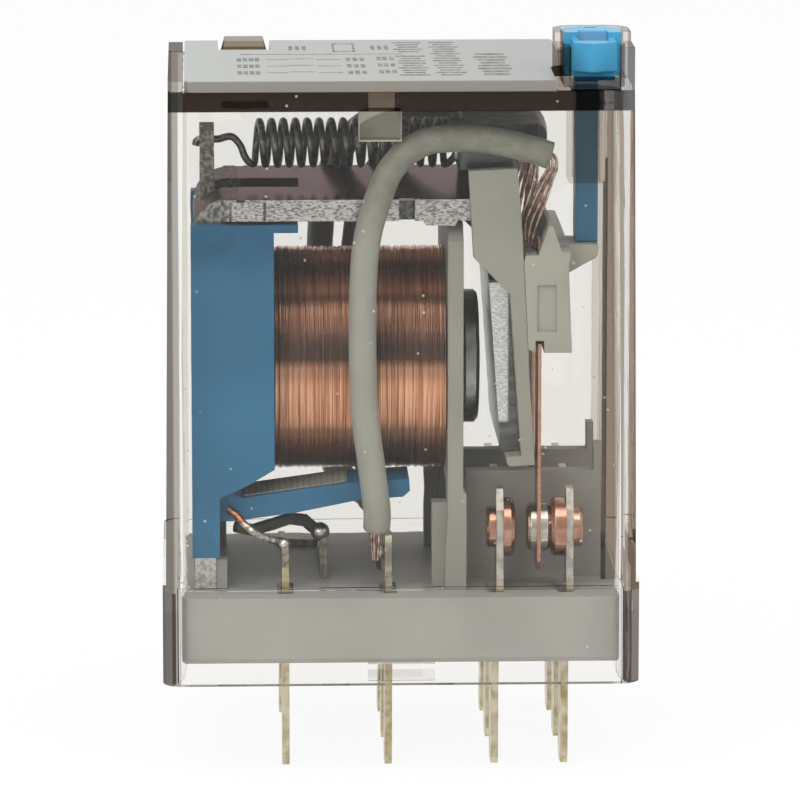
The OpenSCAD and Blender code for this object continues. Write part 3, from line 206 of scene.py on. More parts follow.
# Where the plastic is seen edge-on, most zones are painted dark and brown tints that stand in
# for the dark reflections and refractions at its edges and corners (painted shade): each zone
# lies between limits in millimetres on some of its axes, with its own colour and its share of
# straight passage
top_z = 40.06
top_edge = ((depth, -11, -9), (height, 38.9, top_z))
skirt_front = ((depth, -11, -9), (height, 5.5, 10.9))
boss_front = (depth, -11, -9.5)
catch = ((along, -12, -7), (depth, 5, 10))
peg_limits = ((along, -2.42, 0.02), (depth, -9.15, -6.9), (height, 37.1, 38.8))
plastic = "#F6F5F2"
tint = None
share = None
for colour, straight, limits in (
    # The end walls, seen along their plane, and the rounded upright corners
    ("#D3D2CF", 1.0, ((along, -14, -12.82), (deep, 9.4, 11))),
    ("#E4E0DC", 1.0, ((along, 12.82, 14), (deep, 9.4, 11))),
    ("#B5B1AC", 1.0, ((along, -14, -13.2), (deep, 9.2, 11))),
    ("#A8A39D", 1.0, ((along, -14, -13.2), (deep, 9.2, 11), (height, 32, 42))),
    ("#ADA197", 1.0, ((along, 13.1, 14), (deep, 9.2, 11))),
    # The edge of the top, in painted shade: nearly black, greyer at its ends and browner above
    # the peg
    ("#060302", 0.0, top_edge),
    ("#0F0D0C", 0.0, (*top_edge, (along, -14, -12.5))),
    ("#2E3031", 0.0, (*top_edge, (along, 11.6, 14))),
    ("#2A1E16", 0.0, (*top_edge, (along, -1.9, -0.4))),
    # The ends of the skirt, each with a darker inner side of painted shade
    ("#AAACAE", 1.0, ((along, -14, -13.3), *skirt_front)),
    ("#7A716C", 1.0, ((along, -13.3, -13.08), *skirt_front)),
    ("#81817E", 1.0, ((along, 12.9, 13.1), *skirt_front)),
    ("#868587", 1.0, ((along, 13.1, 13.36), *skirt_front)),
    ("#D0CED2", 1.0, ((along, 13.36, 14), *skirt_front)),
    # The ribs in front of the contacts' end wall, and the painted dark edge of the nearer one
    ("#F0EDE9", 1.0, ((along, 11.8, 12.82), (deep, -1, 4.9), (height, 10, 38.7))),
    ("#77736E", 1.0, ((along, 11.8, 12.16), (depth, -4.9, -4.7), (height, 10, 35.5))),
    # The peg under the top, which is frosted, and the plunger's smoky guide
    ("#E4E3DA", 1.0, peg_limits),
    ("#ECEAE8", 1.0, ((along, 9.8, 12.0), (depth, -5.9, -2.7), (height, 34.1, 38.8))),
    # The boss, its two cheeks and the low wall in front of the button
    ("#EEECEA", 1.0, ((along, 8.8, 14), (height, top_z, 44))),
    ("#A3978D", 1.0, ((along, 8.8, 9.72), boss_front, (height, top_z, 42.6))),
    ("#B7BABD", 1.0, ((along, 12.58, 14), boss_front, (height, top_z, 42.6))),
    ("#848A92", 1.0, ((along, 9.72, 12.58), boss_front, (height, top_z, 40.85))),
    # The raised margin beside the label, and the catch that holds the label
    ("#C9C6C3", 1.0, ((along, -14, -12.42), (height, top_z, 42))),
    ("#A3998C", 1.0, (*catch, (height, top_z, 40.62))),
    ("#E6E4E0", 1.0, (*catch, (height, 40.62, 42))),
):
    zone = within(tree, limits)
    tint = add(tree, "ShaderNodeMix", {"A": linear(plastic), "B": linear(colour)},
               {"Factor": zone, **({"A": tint} if tint else {})}, data_type="RGBA"
               ).outputs["Result"]
    share = add(tree, "ShaderNodeMapRange", {"To Min": 0.0, "To Max": straight},
                {"Value": zone, **({"To Min": share} if share else {})}).outputs[0]
# Faint flow waves of the moulding, some millimetres long
ripple = add(tree, "ShaderNodeTexNoise", {"Scale": 220.0, "Detail": 2.0},
             {"Vector": where.outputs["Object"]})
lift = add(tree, "ShaderNodeBump", {"Strength": 0.12, "Distance": 0.0002},
           {"Height": ripple.outputs["Fac"]})
glass = add(tree, "ShaderNodeBsdfPrincipled",
            {"IOR": 1.45, "Roughness": 0.02, "Transmission Weight": 1.0},
            {"Base Color": tint, "Normal": lift.outputs["Normal"]})
# Seen at a flat angle the straight zones of the ends and the boss are darker, so that their
# edges show
end_x = 12.9
slant = add(tree, "ShaderNodeLayerWeight", {"Blend": 0.5})
rim = add(tree, "ShaderNodeMapRange", {"From Min": 0.75, "From Max": 0.97},
          {"Value": slant.outputs["Facing"]})
outer = add(tree, "ShaderNodeMath", {1: end_x / 1000}, {0: across},
            operation="GREATER_THAN")
upper = add(tree, "ShaderNodeMath", {1: top_z / 1000}, {0: height},
            operation="GREATER_THAN")
outer = add(tree, "ShaderNodeMath", links={0: outer.outputs[0], 1: upper.outputs[0]},
            operation="MAXIMUM")
rim = add(tree, "ShaderNodeMath", links={0: rim.outputs[0], 1: outer.outputs[0]},
          operation="MULTIPLY")
rim = add(tree, "ShaderNodeMix", {"A": linear("#FFFFFF"), "B": linear("#B3ADA6")},
          {"Factor": rim.outputs[0]}, data_type="RGBA")
passed = add(tree, "ShaderNodeMix", {"Factor": 1.0}, {"A": tint, "B": rim.outputs["Result"]},
             data_type="RGBA", blend_type="MULTIPLY")
open_way = add(tree, "ShaderNodeBsdfTransparent", links={"Color": passed.outputs["Result"]})
# Light for the pieces inside passes straight through everywhere
rays = add(tree, "ShaderNodeLightPath")
lamps = add(tree, "ShaderNodeMath", links={
    0: rays.outputs["Is Shadow Ray"], 1: rays.outputs["Is Diffuse Ray"]},
    operation="MAXIMUM").outputs[0]
share = add(tree, "ShaderNodeMath", links={0: lamps, 1: share}, operation="MAXIMUM").outputs[0]
both = add(tree, "ShaderNodeMixShader", links={
    0: share, 1: glass.outputs[0], 2: open_way.outputs[0]})
# The peg is frosted, and specks of dust lie on all faces, one or two millimetres apart
speck_size, speck_cover, peg_cover = 0.05, 0.375, 0.75
dust = add(tree, "ShaderNodeTexVoronoi", {"Scale": 620.0}, {"Vector": where.outputs["Object"]})
dust = add(tree, "ShaderNodeMath", {1: speck_size}, {0: dust.outputs["Distance"]},
           operation="LESS_THAN").outputs[0]
peg = within(tree, peg_limits)
dust = add(tree, "ShaderNodeMath", {1: speck_cover}, {0: dust}, operation="MULTIPLY")
peg = add(tree, "ShaderNodeMath", {1: peg_cover}, {0: peg}, operation="MULTIPLY")
dull = add(tree, "ShaderNodeMath", links={0: dust.outputs[0], 1: peg.outputs[0]},
           operation="MAXIMUM")
frost = add(tree, "ShaderNodeBsdfDiffuse", {"Color": linear("#E2E0D6")})
both = add(tree, "ShaderNodeMixShader", links={
    0: dull.outputs[0], 1: both.outputs[0], 2: frost.outputs[0]})
tree.links.new(both.outputs[0], output.inputs["Surface"])
dress(clear, "cover")


# ---- Label plate ------------------------------------------------------------------------
# A plate of white-grey polyester clipped on top of the cover. Its face is printed with thin
# dark lines and small marks; they are generic here, with no lettering.

def moulded(name, colour, shade, grain_mm, roughness, edge_mm=0.08):
    """Moulded plastic: faint clouds in its colour, a fine sparked grain, and soft edges."""
    material, tree, output = blank(name)
    where = add(tree, "ShaderNodeTexCoord")
    cloud = add(tree, "ShaderNodeTexNoise", {"Scale": 180.0, "Detail": 3.0},
                {"Vector": where.outputs["Object"]})
    level = add(tree, "ShaderNodeMapRange", {"From Min": 0.35, "From Max": 0.65},
                {"Value": cloud.outputs["Fac"]})
    tone = add(tree, "ShaderNodeMix", {"A": linear(shade), "B": linear(colour)},
               {"Factor": level.outputs[0]}, data_type="RGBA")
    grain = add(tree, "ShaderNodeTexNoise", {"Scale": 1000 / grain_mm, "Detail": 2.0},
                {"Vector": where.outputs["Object"]})
    edge = add(tree, "ShaderNodeBevel", {"Radius": edge_mm / 1000}, samples=4)
    lift = add(tree, "ShaderNodeBump", {"Strength": 0.15, "Distance": grain_mm / 8000},
               {"Height": grain.outputs["Fac"], "Normal": edge.outputs["Normal"]})
    surface = add(tree, "ShaderNodeBsdfPrincipled",
                  {"Roughness": roughness, "IOR": 1.5, "Specular IOR Level": 0.3},
                  {"Base Color": tone.outputs["Result"], "Normal": lift.outputs["Normal"]})
    tree.links.new(surface.outputs[0], output.inputs["Surface"])
    return material


def piece(name, shape, material, body, smooth=False):
    """Turn a bmesh into an object that rides on a body."""
    mesh = bpy.data.meshes.new(name)
    shape.to_mesh(mesh)
    shape.free()
    mesh.materials.append(material)
    for face in mesh.polygons:
        face.use_smooth = smooth
    obj = bpy.data.objects.new(name, mesh)
    scene.collection.objects.link(obj)
    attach(obj, body)
    return obj


def block(shape, low, high):
    """A box between two corners, given in millimetres."""
    size = [(h - l) / 1000 for l, h in zip(low, high)]
    middle = [(h + l) / 2000 for l, h in zip(low, high)]
    made = bmesh.ops.create_cube(shape, size=1.0)["verts"]
    bmesh.ops.scale(shape, verts=made, vec=size)
    bmesh.ops.translate(shape, verts=made, vec=middle)


label, tree, output = blank("printed_polyester_label")
where = add(tree, "ShaderNodeTexCoord")
axes = add(tree, "ShaderNodeSeparateXYZ", links={0: where.outputs["Object"]})
# The face is greyer towards the button; the front edge below its top is painted a darker,
# browner grey as painted shade, as it faces away from the light above
away = add(tree, "ShaderNodeMapRange", {"From Min": -0.012, "From Max": 0.009},
           {"Value": axes.outputs["X"]})
face = add(tree, "ShaderNodeMix", {"A": linear("#A3A6A4"), "B": linear("#989A99")},
           {"Factor": away.outputs[0]}, data_type="RGBA")
lower = add(tree, "ShaderNodeMapRange", {"From Min": 0.04066, "From Max": 0.0406},
            {"Value": axes.outputs["Z"]})
tone = add(tree, "ShaderNodeMix", {"B": linear("#868279")},
           {"Factor": lower.outputs[0], "A": face.outputs["Result"]}, data_type="RGBA")
fibre = add(tree, "ShaderNodeTexNoise", {"Scale": 5000.0, "Detail": 2.0},
            {"Vector": where.outputs["Object"]})
lift = add(tree, "ShaderNodeBump", {"Strength": 0.1, "Distance": 0.00002},
           {"Height": fibre.outputs["Fac"]})
surface = add(tree, "ShaderNodeBsdfPrincipled", {"Roughness": 0.4},
              {"Base Color": tone.outputs["Result"], "Normal": lift.outputs["Normal"]})
tree.links.new(surface.outputs[0], output.inputs["Surface"])
dress(label, "label_plate")

# The ink is worn, so it varies from dark to pale grey
ink, tree, output = blank("worn_grey_ink")
where = add(tree, "ShaderNodeTexCoord")
wear = add(tree, "ShaderNodeTexNoise", {"Scale": 2600.0, "Detail": 3.0},
           {"Vector": where.outputs["Object"]})
level = add(tree, "ShaderNodeMapRange", {"From Min": 0.4, "From Max": 0.62},
            {"Value": wear.outputs["Fac"]})
tone = add(tree, "ShaderNodeMix", {"A": linear("#5E5C58"), "B": linear("#8E8F8C")},
           {"Factor": level.outputs[0]}, data_type="RGBA")
surface = add(tree, "ShaderNodeBsdfPrincipled", {"Roughness": 0.6},
              {"Base Color": tone.outputs["Result"]})
tree.links.new(surface.outputs[0], output.inputs["Surface"])

face_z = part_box("label_plate")[1].z * 1000
ink_depth, ink_height = 0.01, 0.008
shape = bmesh.new()


def mark(x, y, length, width):
    """A printed bar, centred at x, y on the label's face."""
    block(shape, (x - length / 2, y - width / 2, face_z - ink_depth),
          (x + length / 2, y + width / 2, face_z + ink_height))


# The signs of the three poles: small blocks, and thin lines for the contacts
pole_pitch = 3.05
for row in range(3):
    y = 0.1 - pole_pitch * row
    for x in (-9.2, -8.85, -8.5, -8.15, -2.8, -2.4, -2.0, -1.0, -0.65, -0.25):
        mark(x, y + (0.3 if x > -1.5 else 0), 0.27, 1.5)
    mark(-7.0, y, 1.3, 0.22)
    mark(-5.6, y + 0.35, 1.5, 0.22)
    mark(-3.95, y, 1.4, 0.22)
# The line above them, and the sign of the coil
mark(-4.3, 2.6, 9.6, 0.22)
for y in (3.9, 7.6):
    mark(-2.95, y, 1.3, 0.3)
for x in (-3.55, -2.35):
    mark(x, 5.75, 0.12, 3.9)
for x in (-6.1, -5.7, -5.3, -1.2, -0.8, -0.4):
    mark(x, 5.6, 0.24, 2.0)
# Columns of bars of uneven length, where the real label has small print
for column in (0.9, 3.0):
    for line in range(15):
        y = 8.1 - 1.1 * line
        if line != 5 or column > 2:
            mark(column, y, 1.45 + 0.35 * math.sin(line * 2.3 + column), 0.5)
for line in range(8):
    mark(5.6, 2.3 - 1.35 * line, 1.7 + 0.3 * math.sin(line * 1.7), 0.75)
piece("label_print", shape, ink, "relay_frame")


# ---- Base -------------------------------------------------------------------------------
# A warm grey moulding of glass-filled nylon with slots for the blades and thin walls
# between the poles. Its faces are satin from the spark-eroded mould.

grey = moulded("grey_filled_nylon", "#A4A3A0", "#9B9A97", 0.12, 0.5)
dress(grey, "base")


# ---- Blades and contact strips ----------------------------------------------------------
# Stamped from brass strip with a thin pale gold plating. The sheared edges are darker and
# yellower, and the strips are slightly stained where they were handled.

def plated(name, colour, stain, stain_mm, roughness):
    """Plated metal: soft stains in its colour and gloss, a fine grain, and soft edges."""
    material, tree, output = blank(name)
    where = add(tree, "ShaderNodeTexCoord")
    cloud = add(tree, "ShaderNodeTexNoise", {"Scale": 1000 / stain_mm, "Detail": 4.0},
                {"Vector": where.outputs["Object"]})
    level = add(tree, "ShaderNodeMapRange", {"From Min": 0.4, "From Max": 0.66},
                {"Value": cloud.outputs["Fac"]})
    tone = add(tree, "ShaderNodeMix", {"A": linear(colour), "B": linear(stain)},
               {"Factor": level.outputs[0]}, data_type="RGBA")
    gloss = add(tree, "ShaderNodeMapRange",
                {"To Min": roughness - 0.06, "To Max": roughness + 0.12},
                {"Value": cloud.outputs["Fac"]})
    fine = add(tree, "ShaderNodeTexNoise", {"Scale": 9000.0, "Detail": 2.0},
               {"Vector": where.outputs["Object"]})
    edge = add(tree, "ShaderNodeBevel", {"Radius": 0.00005}, samples=4)
    lift = add(tree, "ShaderNodeBump", {"Strength": 0.2, "Distance": 0.00001},
               {"Height": fine.outputs["Fac"], "Normal": edge.outputs["Normal"]})
    surface = add(tree, "ShaderNodeBsdfPrincipled", {"Metallic": 1.0},
                  {"Base Color": tone.outputs["Result"], "Roughness": gloss.outputs[0],
                   "Normal": lift.outputs["Normal"]})
    tree.links.new(surface.outputs[0], output.inputs["Surface"])
    return material


def band(tree, socket, low, high, soft):
    """1 where the value lies between low and high, with soft ends."""
    up = add(tree, "ShaderNodeMapRange", {"From Min": low - soft, "From Max": low + soft},
             {"Value": socket}, interpolation_type="SMOOTHSTEP")
    down = add(tree, "ShaderNodeMapRange", {"From Min": high + soft, "From Max": high - soft},
               {"Value": socket}, interpolation_type="SMOOTHSTEP")
    return add(tree, "ShaderNodeMath", links={0: up.outputs[0], 1: down.outputs[0]},
               operation="MULTIPLY").outputs[0]


def shader_of(material):
    """The Principled shader of a material."""
    return next(node for node in material.node_tree.nodes if node.type == "BSDF_PRINCIPLED")


def regions(material, *rows, stretch=(1.0, 1.0, 1.0)):
    """Give a material other colours, and other gloss if wanted, between limits on its axes.

    A row has a colour, a fleck colour, the flecks' size, a gloss or None, and the limits:
    axis, low, high and softness, all in millimetres. stretch shrinks the flecks' pattern.
    """
    tree = material.node_tree
    surface = shader_of(material)
    where = add(tree, "ShaderNodeTexCoord")
    axes = add(tree, "ShaderNodeSeparateXYZ", links={0: where.outputs["Object"]})
    streak = add(tree, "ShaderNodeMapping", {"Scale": stretch},
                 {"Vector": where.outputs["Object"]})
    for colour, fleck, fleck_mm, gloss, limits in rows:
        zone = None
        for axis, low, high, soft in limits:
            inside = band(tree, axes.outputs[axis], low / 1000, high / 1000, soft / 1000)
            zone = inside if zone is None else add(
                tree, "ShaderNodeMath", links={0: zone, 1: inside}, operation="MULTIPLY"
            ).outputs[0]
        speck = add(tree, "ShaderNodeTexNoise", {"Scale": 1000 / fleck_mm, "Detail": 4.0},
                    {"Vector": streak.outputs["Vector"]})
        level = add(tree, "ShaderNodeMapRange", {"From Min": 0.42, "From Max": 0.62},
                    {"Value": speck.outputs["Fac"]})
        own = add(tree, "ShaderNodeMix", {"A": linear(colour), "B": linear(fleck)},
                  {"Factor": level.outputs[0]}, data_type="RGBA")
        tone = add(tree, "ShaderNodeMix", links={
            "Factor": zone, "A": surface.inputs["Base Color"].links[0].from_socket,
            "B": own.outputs["Result"]}, data_type="RGBA")
        tree.links.new(tone.outputs["Result"], surface.inputs["Base Color"])
        if gloss and surface.inputs["Roughness"].is_linked:
            rough = add(tree, "ShaderNodeMapRange", {"To Max": gloss}, {
                "Value": zone, "To Min": surface.inputs["Roughness"].links[0].from_socket})
            tree.links.new(rough.outputs[0], surface.inputs["Roughness"])


poles = (1, 2, 3)
gilt = plated("gold_plated_brass", "#C8BD9E", "#AEA178", 0.4, 0.3)
dress(gilt, *[f"com_terminal_{row}" for row in poles])
# Above the base the common tags are dulled by the flux
regions(gilt, ("#8B877C", "#B7AF9A", 0.5, 0.4, (("Z", 10.6, 20, 0.2),)))
# The coil's tags are stained brown by the flux
tinned = plated("tin_dipped_brass", "#D2C9B0", "#A89A6E", 0.9, 0.3)
regions(tinned, ("#6E6A5C", "#A59F8C", 0.35, 0.4, (("Z", 11.9, 20, 0.1),)),
        ("#6A675F", "#8F8B80", 0.35, 0.45, (("Y", -6.3, 8, 0.1), ("Z", 10.2, 20, 0.1))))
dress(tinned, "coil_terminal_a", "coil_terminal_b")
# The strips that carry the fixed contacts are silvery above their gilt feet
strip = plated("silvered_contact_strip", "#D2C9B0", "#A89A6E", 0.9, 0.3)
regions(strip, ("#CFCBC4", "#A9A7A2", 0.5, 0.3, (("Z", 11.05, 30, 0.04),)))
dress(strip, *[f"{kind}_terminal_{row}" for kind in ("no", "nc") for row in poles])


# ---- Yoke, core and armature ------------------------------------------------------------
# Soft iron parts: the yoke is bent from plate and nickel plated, with a pinkish shine; the
# turned core and the flat armature are darker, with a mottled passivated face.

nickel = plated("nickel_plated_iron", "#8F8184", "#7F7374", 2.5, 0.12)
# The sheared edges are silvery and torn
for side in (-1, 1):
    edge = ("Y", *sorted((side * 7.9, side * 7.1)), 0.02)
    regions(nickel, ("#CFCDCA", "#7D7B7E", 0.09, 0.3, (edge,)), stretch=(0.45, 1.0, 1.0))
# The flat face mirrors little at a low angle
shader_of(nickel).inputs["Specular Tint"].default_value = linear("#A39296")
# The bend and the tongue are dark with bright flecks, a notch is dark, and the foot is pale
regions(nickel, ("#5F605B", "#A8A6A0", 0.3, 0.3, (("X", -14, -9.3, 0.25), ("Y", -7.09, 8, 0.02),
                                                  ("Z", 30, 33.6, 0.1))),
        ("#55564F", "#8D8A83", 0.25, 0.3, (("X", -14, -9.9, 0.2), ("Z", 33.5, 40, 0.05))),
        ("#6A6A66", "#B9B7B2", 0.25, 0.4, (("X", -14, -9.7, 0.2), ("Y", -7.3, -7.09, 0.02),
                                           ("Z", 30, 34, 0.1))),
        ("#464745", "#6E6E6B", 0.2, 0.4, (("X", -0.4, 1.35, 0.02), ("Y", -7.09, -5, 0.02),
                                          ("Z", 30, 33.3, 0.05))),
        ("#DAD6D2", "#A9A5A2", 0.25, 0.4, (("Z", 8, 15, 0.2),)))
dress(nickel, "yoke")
# The pole disc is nearly black, with one soft painted highlight, a paler band by height, in the
# middle
dark_iron = plated("blackened_iron", "#969995", "#787B79", 1.2, 0.28)
regions(dark_iron, ("#B9BCB8", "#8E918E", 0.6, 0.28, (("Z", 17.6, 22.4, 0.9),)))
dress(dark_iron, "core")
zinc = plated("passivated_iron", "#9EA2A1", "#868B8C", 0.4, 0.3)
# The face towards the pole is painted dark above, a painted reflection of the dark yoke end; the
# front edge is pale and scratched, with a dark foot and a dark rim
regions(zinc, ("#4F5553", "#5F6461", 0.8, 0.25, (("Y", -6.3, 8, 0.05), ("Z", 26.2, 40, 0.3))),
        ("#E6EAE9", "#B3BBBC", 0.06, 0.35, (("Y", -8, -6.35, 0.05),)),
        ("#5B5D58", "#777A74", 0.4, 0.4, (("Y", -8, -6.35, 0.05), ("Z", 5, 20.3, 0.15))),
        ("#5B5D58", "#777A74", 0.4, 0.4, (("Y", -8, -6.35, 0.05), ("X", 6.3, 8, 0.08))),
        stretch=(0.3, 1.0, 1.0))
dress(zinc, "armature")
# The bracket is of dull, nearly black steel
dull_steel = plated("dull_spring_steel", "#55534E", "#3E3C39", 0.8, 0.5)
dress(dull_steel, "spring_bracket")


# ---- Bobbin and winding -----------------------------------------------------------------
# The bobbin is grey nylon, a little warmer than the base. On it lie fine turns of enamelled
# copper wire; only the outer layer is made, as one ridge for each turn.

pale_grey = moulded("pale_grey_nylon", "#9B9A94", "#92918B", 0.12, 0.5)
dress(pale_grey, "bobbin")

copper_wire, tree, output = blank("enamelled_copper_wire")
where = add(tree, "ShaderNodeTexCoord")
# Each turn has its own tone: a noise that changes along the coil and hardly around it. Over
# it lie bands by height, dark and bright in turn, of painted shade and painted reflections of
# the table and the lamps
stretch = add(tree, "ShaderNodeMapping", {"Scale": (1.0, 0.02, 0.02)},
              {"Vector": where.outputs["Object"]})
turns = add(tree, "ShaderNodeTexNoise", {"Scale": 7800.0, "Detail": 2.0},
            {"Vector": stretch.outputs["Vector"]})
level = add(tree, "ShaderNodeMapRange", {"From Min": 0.35, "From Max": 0.65},
            {"Value": turns.outputs["Fac"]})
tone = add(tree, "ShaderNodeMix", {"A": linear("#BE7554"), "B": linear("#FFC49E")},
           {"Factor": level.outputs[0]}, data_type="RGBA")
low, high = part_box("winding")
axes = add(tree, "ShaderNodeSeparateXYZ", links={0: where.outputs["Object"]})
rise = add(tree, "ShaderNodeMapRange", {"From Min": low.z, "From Max": high.z},
           {"Value": axes.outputs["Z"]})
# The bands of painted shade and painted reflection, from the bottom of the coil to its top
shade = add(tree, "ShaderNodeValToRGB", links={"Fac": rise.outputs[0]})
steps = ((0.0, "#898989"), (0.136, "#999999"), (0.167, "#B3B3B3"), (0.19, "#CBCBCB"),
         (0.215, "#EDEDED"), (0.25, "#F1F1F1"), (0.3, "#FFFFFF"), (0.42, "#FFFFFF"),
         (0.45, "#F9F9F9"), (0.5, "#CBCBCB"), (0.53, "#CBCBCB"), (0.55, "#A2A2A2"),
         (0.57, "#616161"), (0.6, "#3F3E3D"), (0.64, "#454443"), (0.68, "#656361"),
         (0.715, "#817E7D"), (0.76, "#A09C9A"), (0.8, "#959190"), (0.83, "#ADA9A7"),
         (0.855, "#FFF9F6"), (0.89, "#D7CFCB"), (0.925, "#A6A09C"), (0.95, "#958F8C"),
         (0.965, "#DAD2CE"), (0.98, "#FFF9F6"), (1.0, "#FFF9F6"))
while len(shade.color_ramp.elements) < len(steps):
    shade.color_ramp.elements.new(1.0)
for stop, (place, colour) in zip(shade.color_ramp.elements, steps):
    stop.position = place
    stop.color = linear(colour)
tone = add(tree, "ShaderNodeMix", {"Factor": 1.0},
           {"A": tone.outputs["Result"], "B": shade.outputs["Color"]},
           data_type="RGBA", blend_type="MULTIPLY")
surface = add(tree, "ShaderNodeBsdfPrincipled", {"Metallic": 0.7, "Roughness": 0.17},
              {"Base Color": tone.outputs["Result"]})
tree.links.new(surface.outputs[0], output.inputs["Surface"])

turn_pitch = 0.00013
inner = 0.0039
end_gap = 0.00002
# The outline of one turn: how far along it each point lies, and how far below its crown
turn_outline = ((0.0, 0.000028), (0.25, 0.000006), (0.5, 0.0), (0.75, 0.000006))
axis_z = (low.z + high.z) / 2
outer = (high.z - low.z) / 2
shape = bmesh.new()
x = low.x + end_gap
rim = []
index = 0
while x + turn_pitch < high.x:
    # Hand-fed turns lie a little higher and lower, and some fall into the layer below
    sink = (0.00004 * (1 + math.sin(index * 1.9) * math.sin(index * 0.37))
            + 0.00008 * max(0.0, math.sin(index * 0.71 + 1.0) - 0.6))
    for step, drop in turn_outline:
        rim.append(shape.verts.new((x + step * turn_pitch, 0, outer - sink - drop)))
    x += turn_pitch
    index += 1
rim.insert(0, shape.verts.new((low.x + end_gap / 2, 0, inner)))
rim.append(shape.verts.new((x, 0, inner)))
edges = [shape.edges.new((a, b)) for a, b in zip(rim, rim[1:])]
edges.append(shape.edges.new((rim[-1], rim[0])))
bmesh.ops.spin(shape, geom=rim + edges, cent=(0, 0, 0), axis=(1, 0, 0), dvec=(0, 0, 0),
               angle=math.tau, steps=96, use_merge=True, use_normal_flip=False,
               use_duplicate=False)
bmesh.ops.remove_doubles(shape, verts=shape.verts, dist=0.000001)
bmesh.ops.translate(shape, verts=shape.verts, vec=(0, 0, axis_z))
bmesh.ops.recalc_face_normals(shape, faces=shape.faces)
coil = piece("wire_turns", shape, copper_wire, "relay_frame", smooth=True)
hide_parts("winding")


# ---- Coil clip, tape and leads ----------------------------------------------------------
# The clip is a blue moulding of acetal with a satin face. A strip of woven insulating tape
# lies on its arm. The front lead is bare copper, the rear one has a dark cover.

blue = moulded("blue_acetal", "#34739B", "#2E698F", 0.08, 0.42)
# Under the yoke the clip lies in its shade
regions(blue, ("#1E5E84", "#1B5678", 1.5, None, (("Z", 29.5, 40, 1.2),)))
dress(blue, "coil_clip")

tape, tree, output = blank("woven_glass_tape")
where = add(tree, "ShaderNodeTexCoord")
weave = add(tree, "ShaderNodeTexWave", {"Scale": 900.0, "Distortion": 3.0, "Detail": 2.0},
            {"Vector": where.outputs["Object"]})
tone = add(tree, "ShaderNodeMix", {"A": linear("#82827C"), "B": linear("#94948C")},
           {"Factor": weave.outputs["Fac"]}, data_type="RGBA")
lift = add(tree, "ShaderNodeBump", {"Strength": 0.4, "Distance": 0.00004},
           {"Height": weave.outputs["Fac"]})
surface = add(tree, "ShaderNodeBsdfPrincipled", {"Roughness": 0.7},
              {"Base Color": tone.outputs["Result"], "Normal": lift.outputs["Normal"]})
tree.links.new(surface.outputs[0], output.inputs["Surface"])
dress(tape, "arm_tape")

bare_copper = plated("bare_copper_wire", "#C98A6C", "#8A4A34", 0.3, 0.35)
# Towards the tag the lead is tinned
regions(bare_copper, ("#C9C6BE", "#7B7568", 0.22, 0.3, (("Z", 5, 14.6, 0.15),)))
dress(bare_copper, "coil_lead_a")
dark_cover = moulded("dark_lead_cover", "#4A4B45", "#353530", 0.1, 0.45)
dress(dark_cover, "coil_lead_b")


# ---- Return spring ----------------------------------------------------------------------
# Hard drawn steel wire, wound to an open helix. One hook passes through the eye of the
# yoke's tongue, the other through the bracket on the armature's head.

def tube(name, paths, radius, material, body, sides, steps):
    """Round wire along smooth paths, given in millimetres, as one mesh."""
    curve = bpy.data.curves.new(name, "CURVE")
    curve.dimensions = "3D"
    curve.bevel_depth = radius / 1000
    curve.bevel_resolution = sides
    curve.resolution_u = steps
    curve.use_fill_caps = True
    for path in paths:
        spline = curve.splines.new("BEZIER")
        spline.bezier_points.add(len(path) - 1)
        for point, place in zip(spline.bezier_points, path):
            point.co = [v / 1000 for v in place]
            point.handle_left_type = point.handle_right_type = "AUTO"
    holder = bpy.data.objects.new(name + "_curve", curve)
    mesh = bpy.data.meshes.new_from_object(holder)
    bpy.data.objects.remove(holder)
    mesh.name = name
    mesh.materials.clear()
    mesh.materials.append(material)
    for face in mesh.polygons:
        face.use_smooth = True
    obj = bpy.data.objects.new(name, mesh)
    scene.collection.objects.link(obj)
    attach(obj, body)
    return obj


spring_steel = plated("drawn_spring_steel", "#5C5D56", "#8A8982", 0.3, 0.33)
wire_radius = 0.22
coil_x, coil_length, coil_turns, coil_radius = -8.35, 11.2, 16, 1.275
points_per_turn = 12
spring_z = 35.8
foot = spring_z - coil_radius
wound = [(coil_x + coil_length * i / (points_per_turn * coil_turns),
          coil_radius * math.sin(math.tau * i / points_per_turn),
          spring_z - coil_radius * math.cos(math.tau * i / points_per_turn))
         for i in range(1, points_per_turn * coil_turns)]
left_hook = [(-11.785, 0, 35.67), (-11.72, 0, 35.93), (-11.47, 0, 36.05), (-10.4, 0, 36.05),
             (-10, 0, 36.17), (-9.65, 0, 36.17), (-9.35, 0, 35.93), (-9.1, 0, 35.55),
             (-8.95, 0, foot + 0.6), (-8.75, 0, foot + 0.25), (-8.53, 0.05, foot + 0.04),
             (-8.37, 0.28, foot)]
right_hook = [(2.87, -0.28, foot), (3.03, -0.05, foot + 0.04), (3.27, 0, foot + 0.2),
              (3.49, 0, foot + 0.5), (3.65, 0, foot + 0.9), (3.65, 0, 36.05), (3.65, 0, 37.4),
              (3.54, 0, 37.66), (3.3, 0, 37.79), (3.08, 0, 37.74)]
spring = tube("spring_wire", [left_hook + wound + right_hook], wire_radius, spring_steel,
              "relay_frame", sides=2, steps=3)
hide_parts("return_spring")


# ---- Carrier and contact block ----------------------------------------------------------
# Two grey nylon mouldings that swing with the armature. The block grips the springs and
# has the lug that the test button pushes.

dress(pale_grey, "carrier")
# The block is a little paler than the carrier
block_grey = moulded("pale_grey_nylon_block", "#A9A8A1", "#9F9E97", 0.12, 0.5)
dress(block_grey, "contact_block")


# ---- Contact springs and contacts -------------------------------------------------------
# The springs are rolled copper alloy strip. The fixed rivets have copper bodies; the moving
# ones are of silver alloy, riveted through the spring.

leaf_copper = plated("rolled_copper_strip", "#C99B87", "#B8866F", 0.22, 0.3)
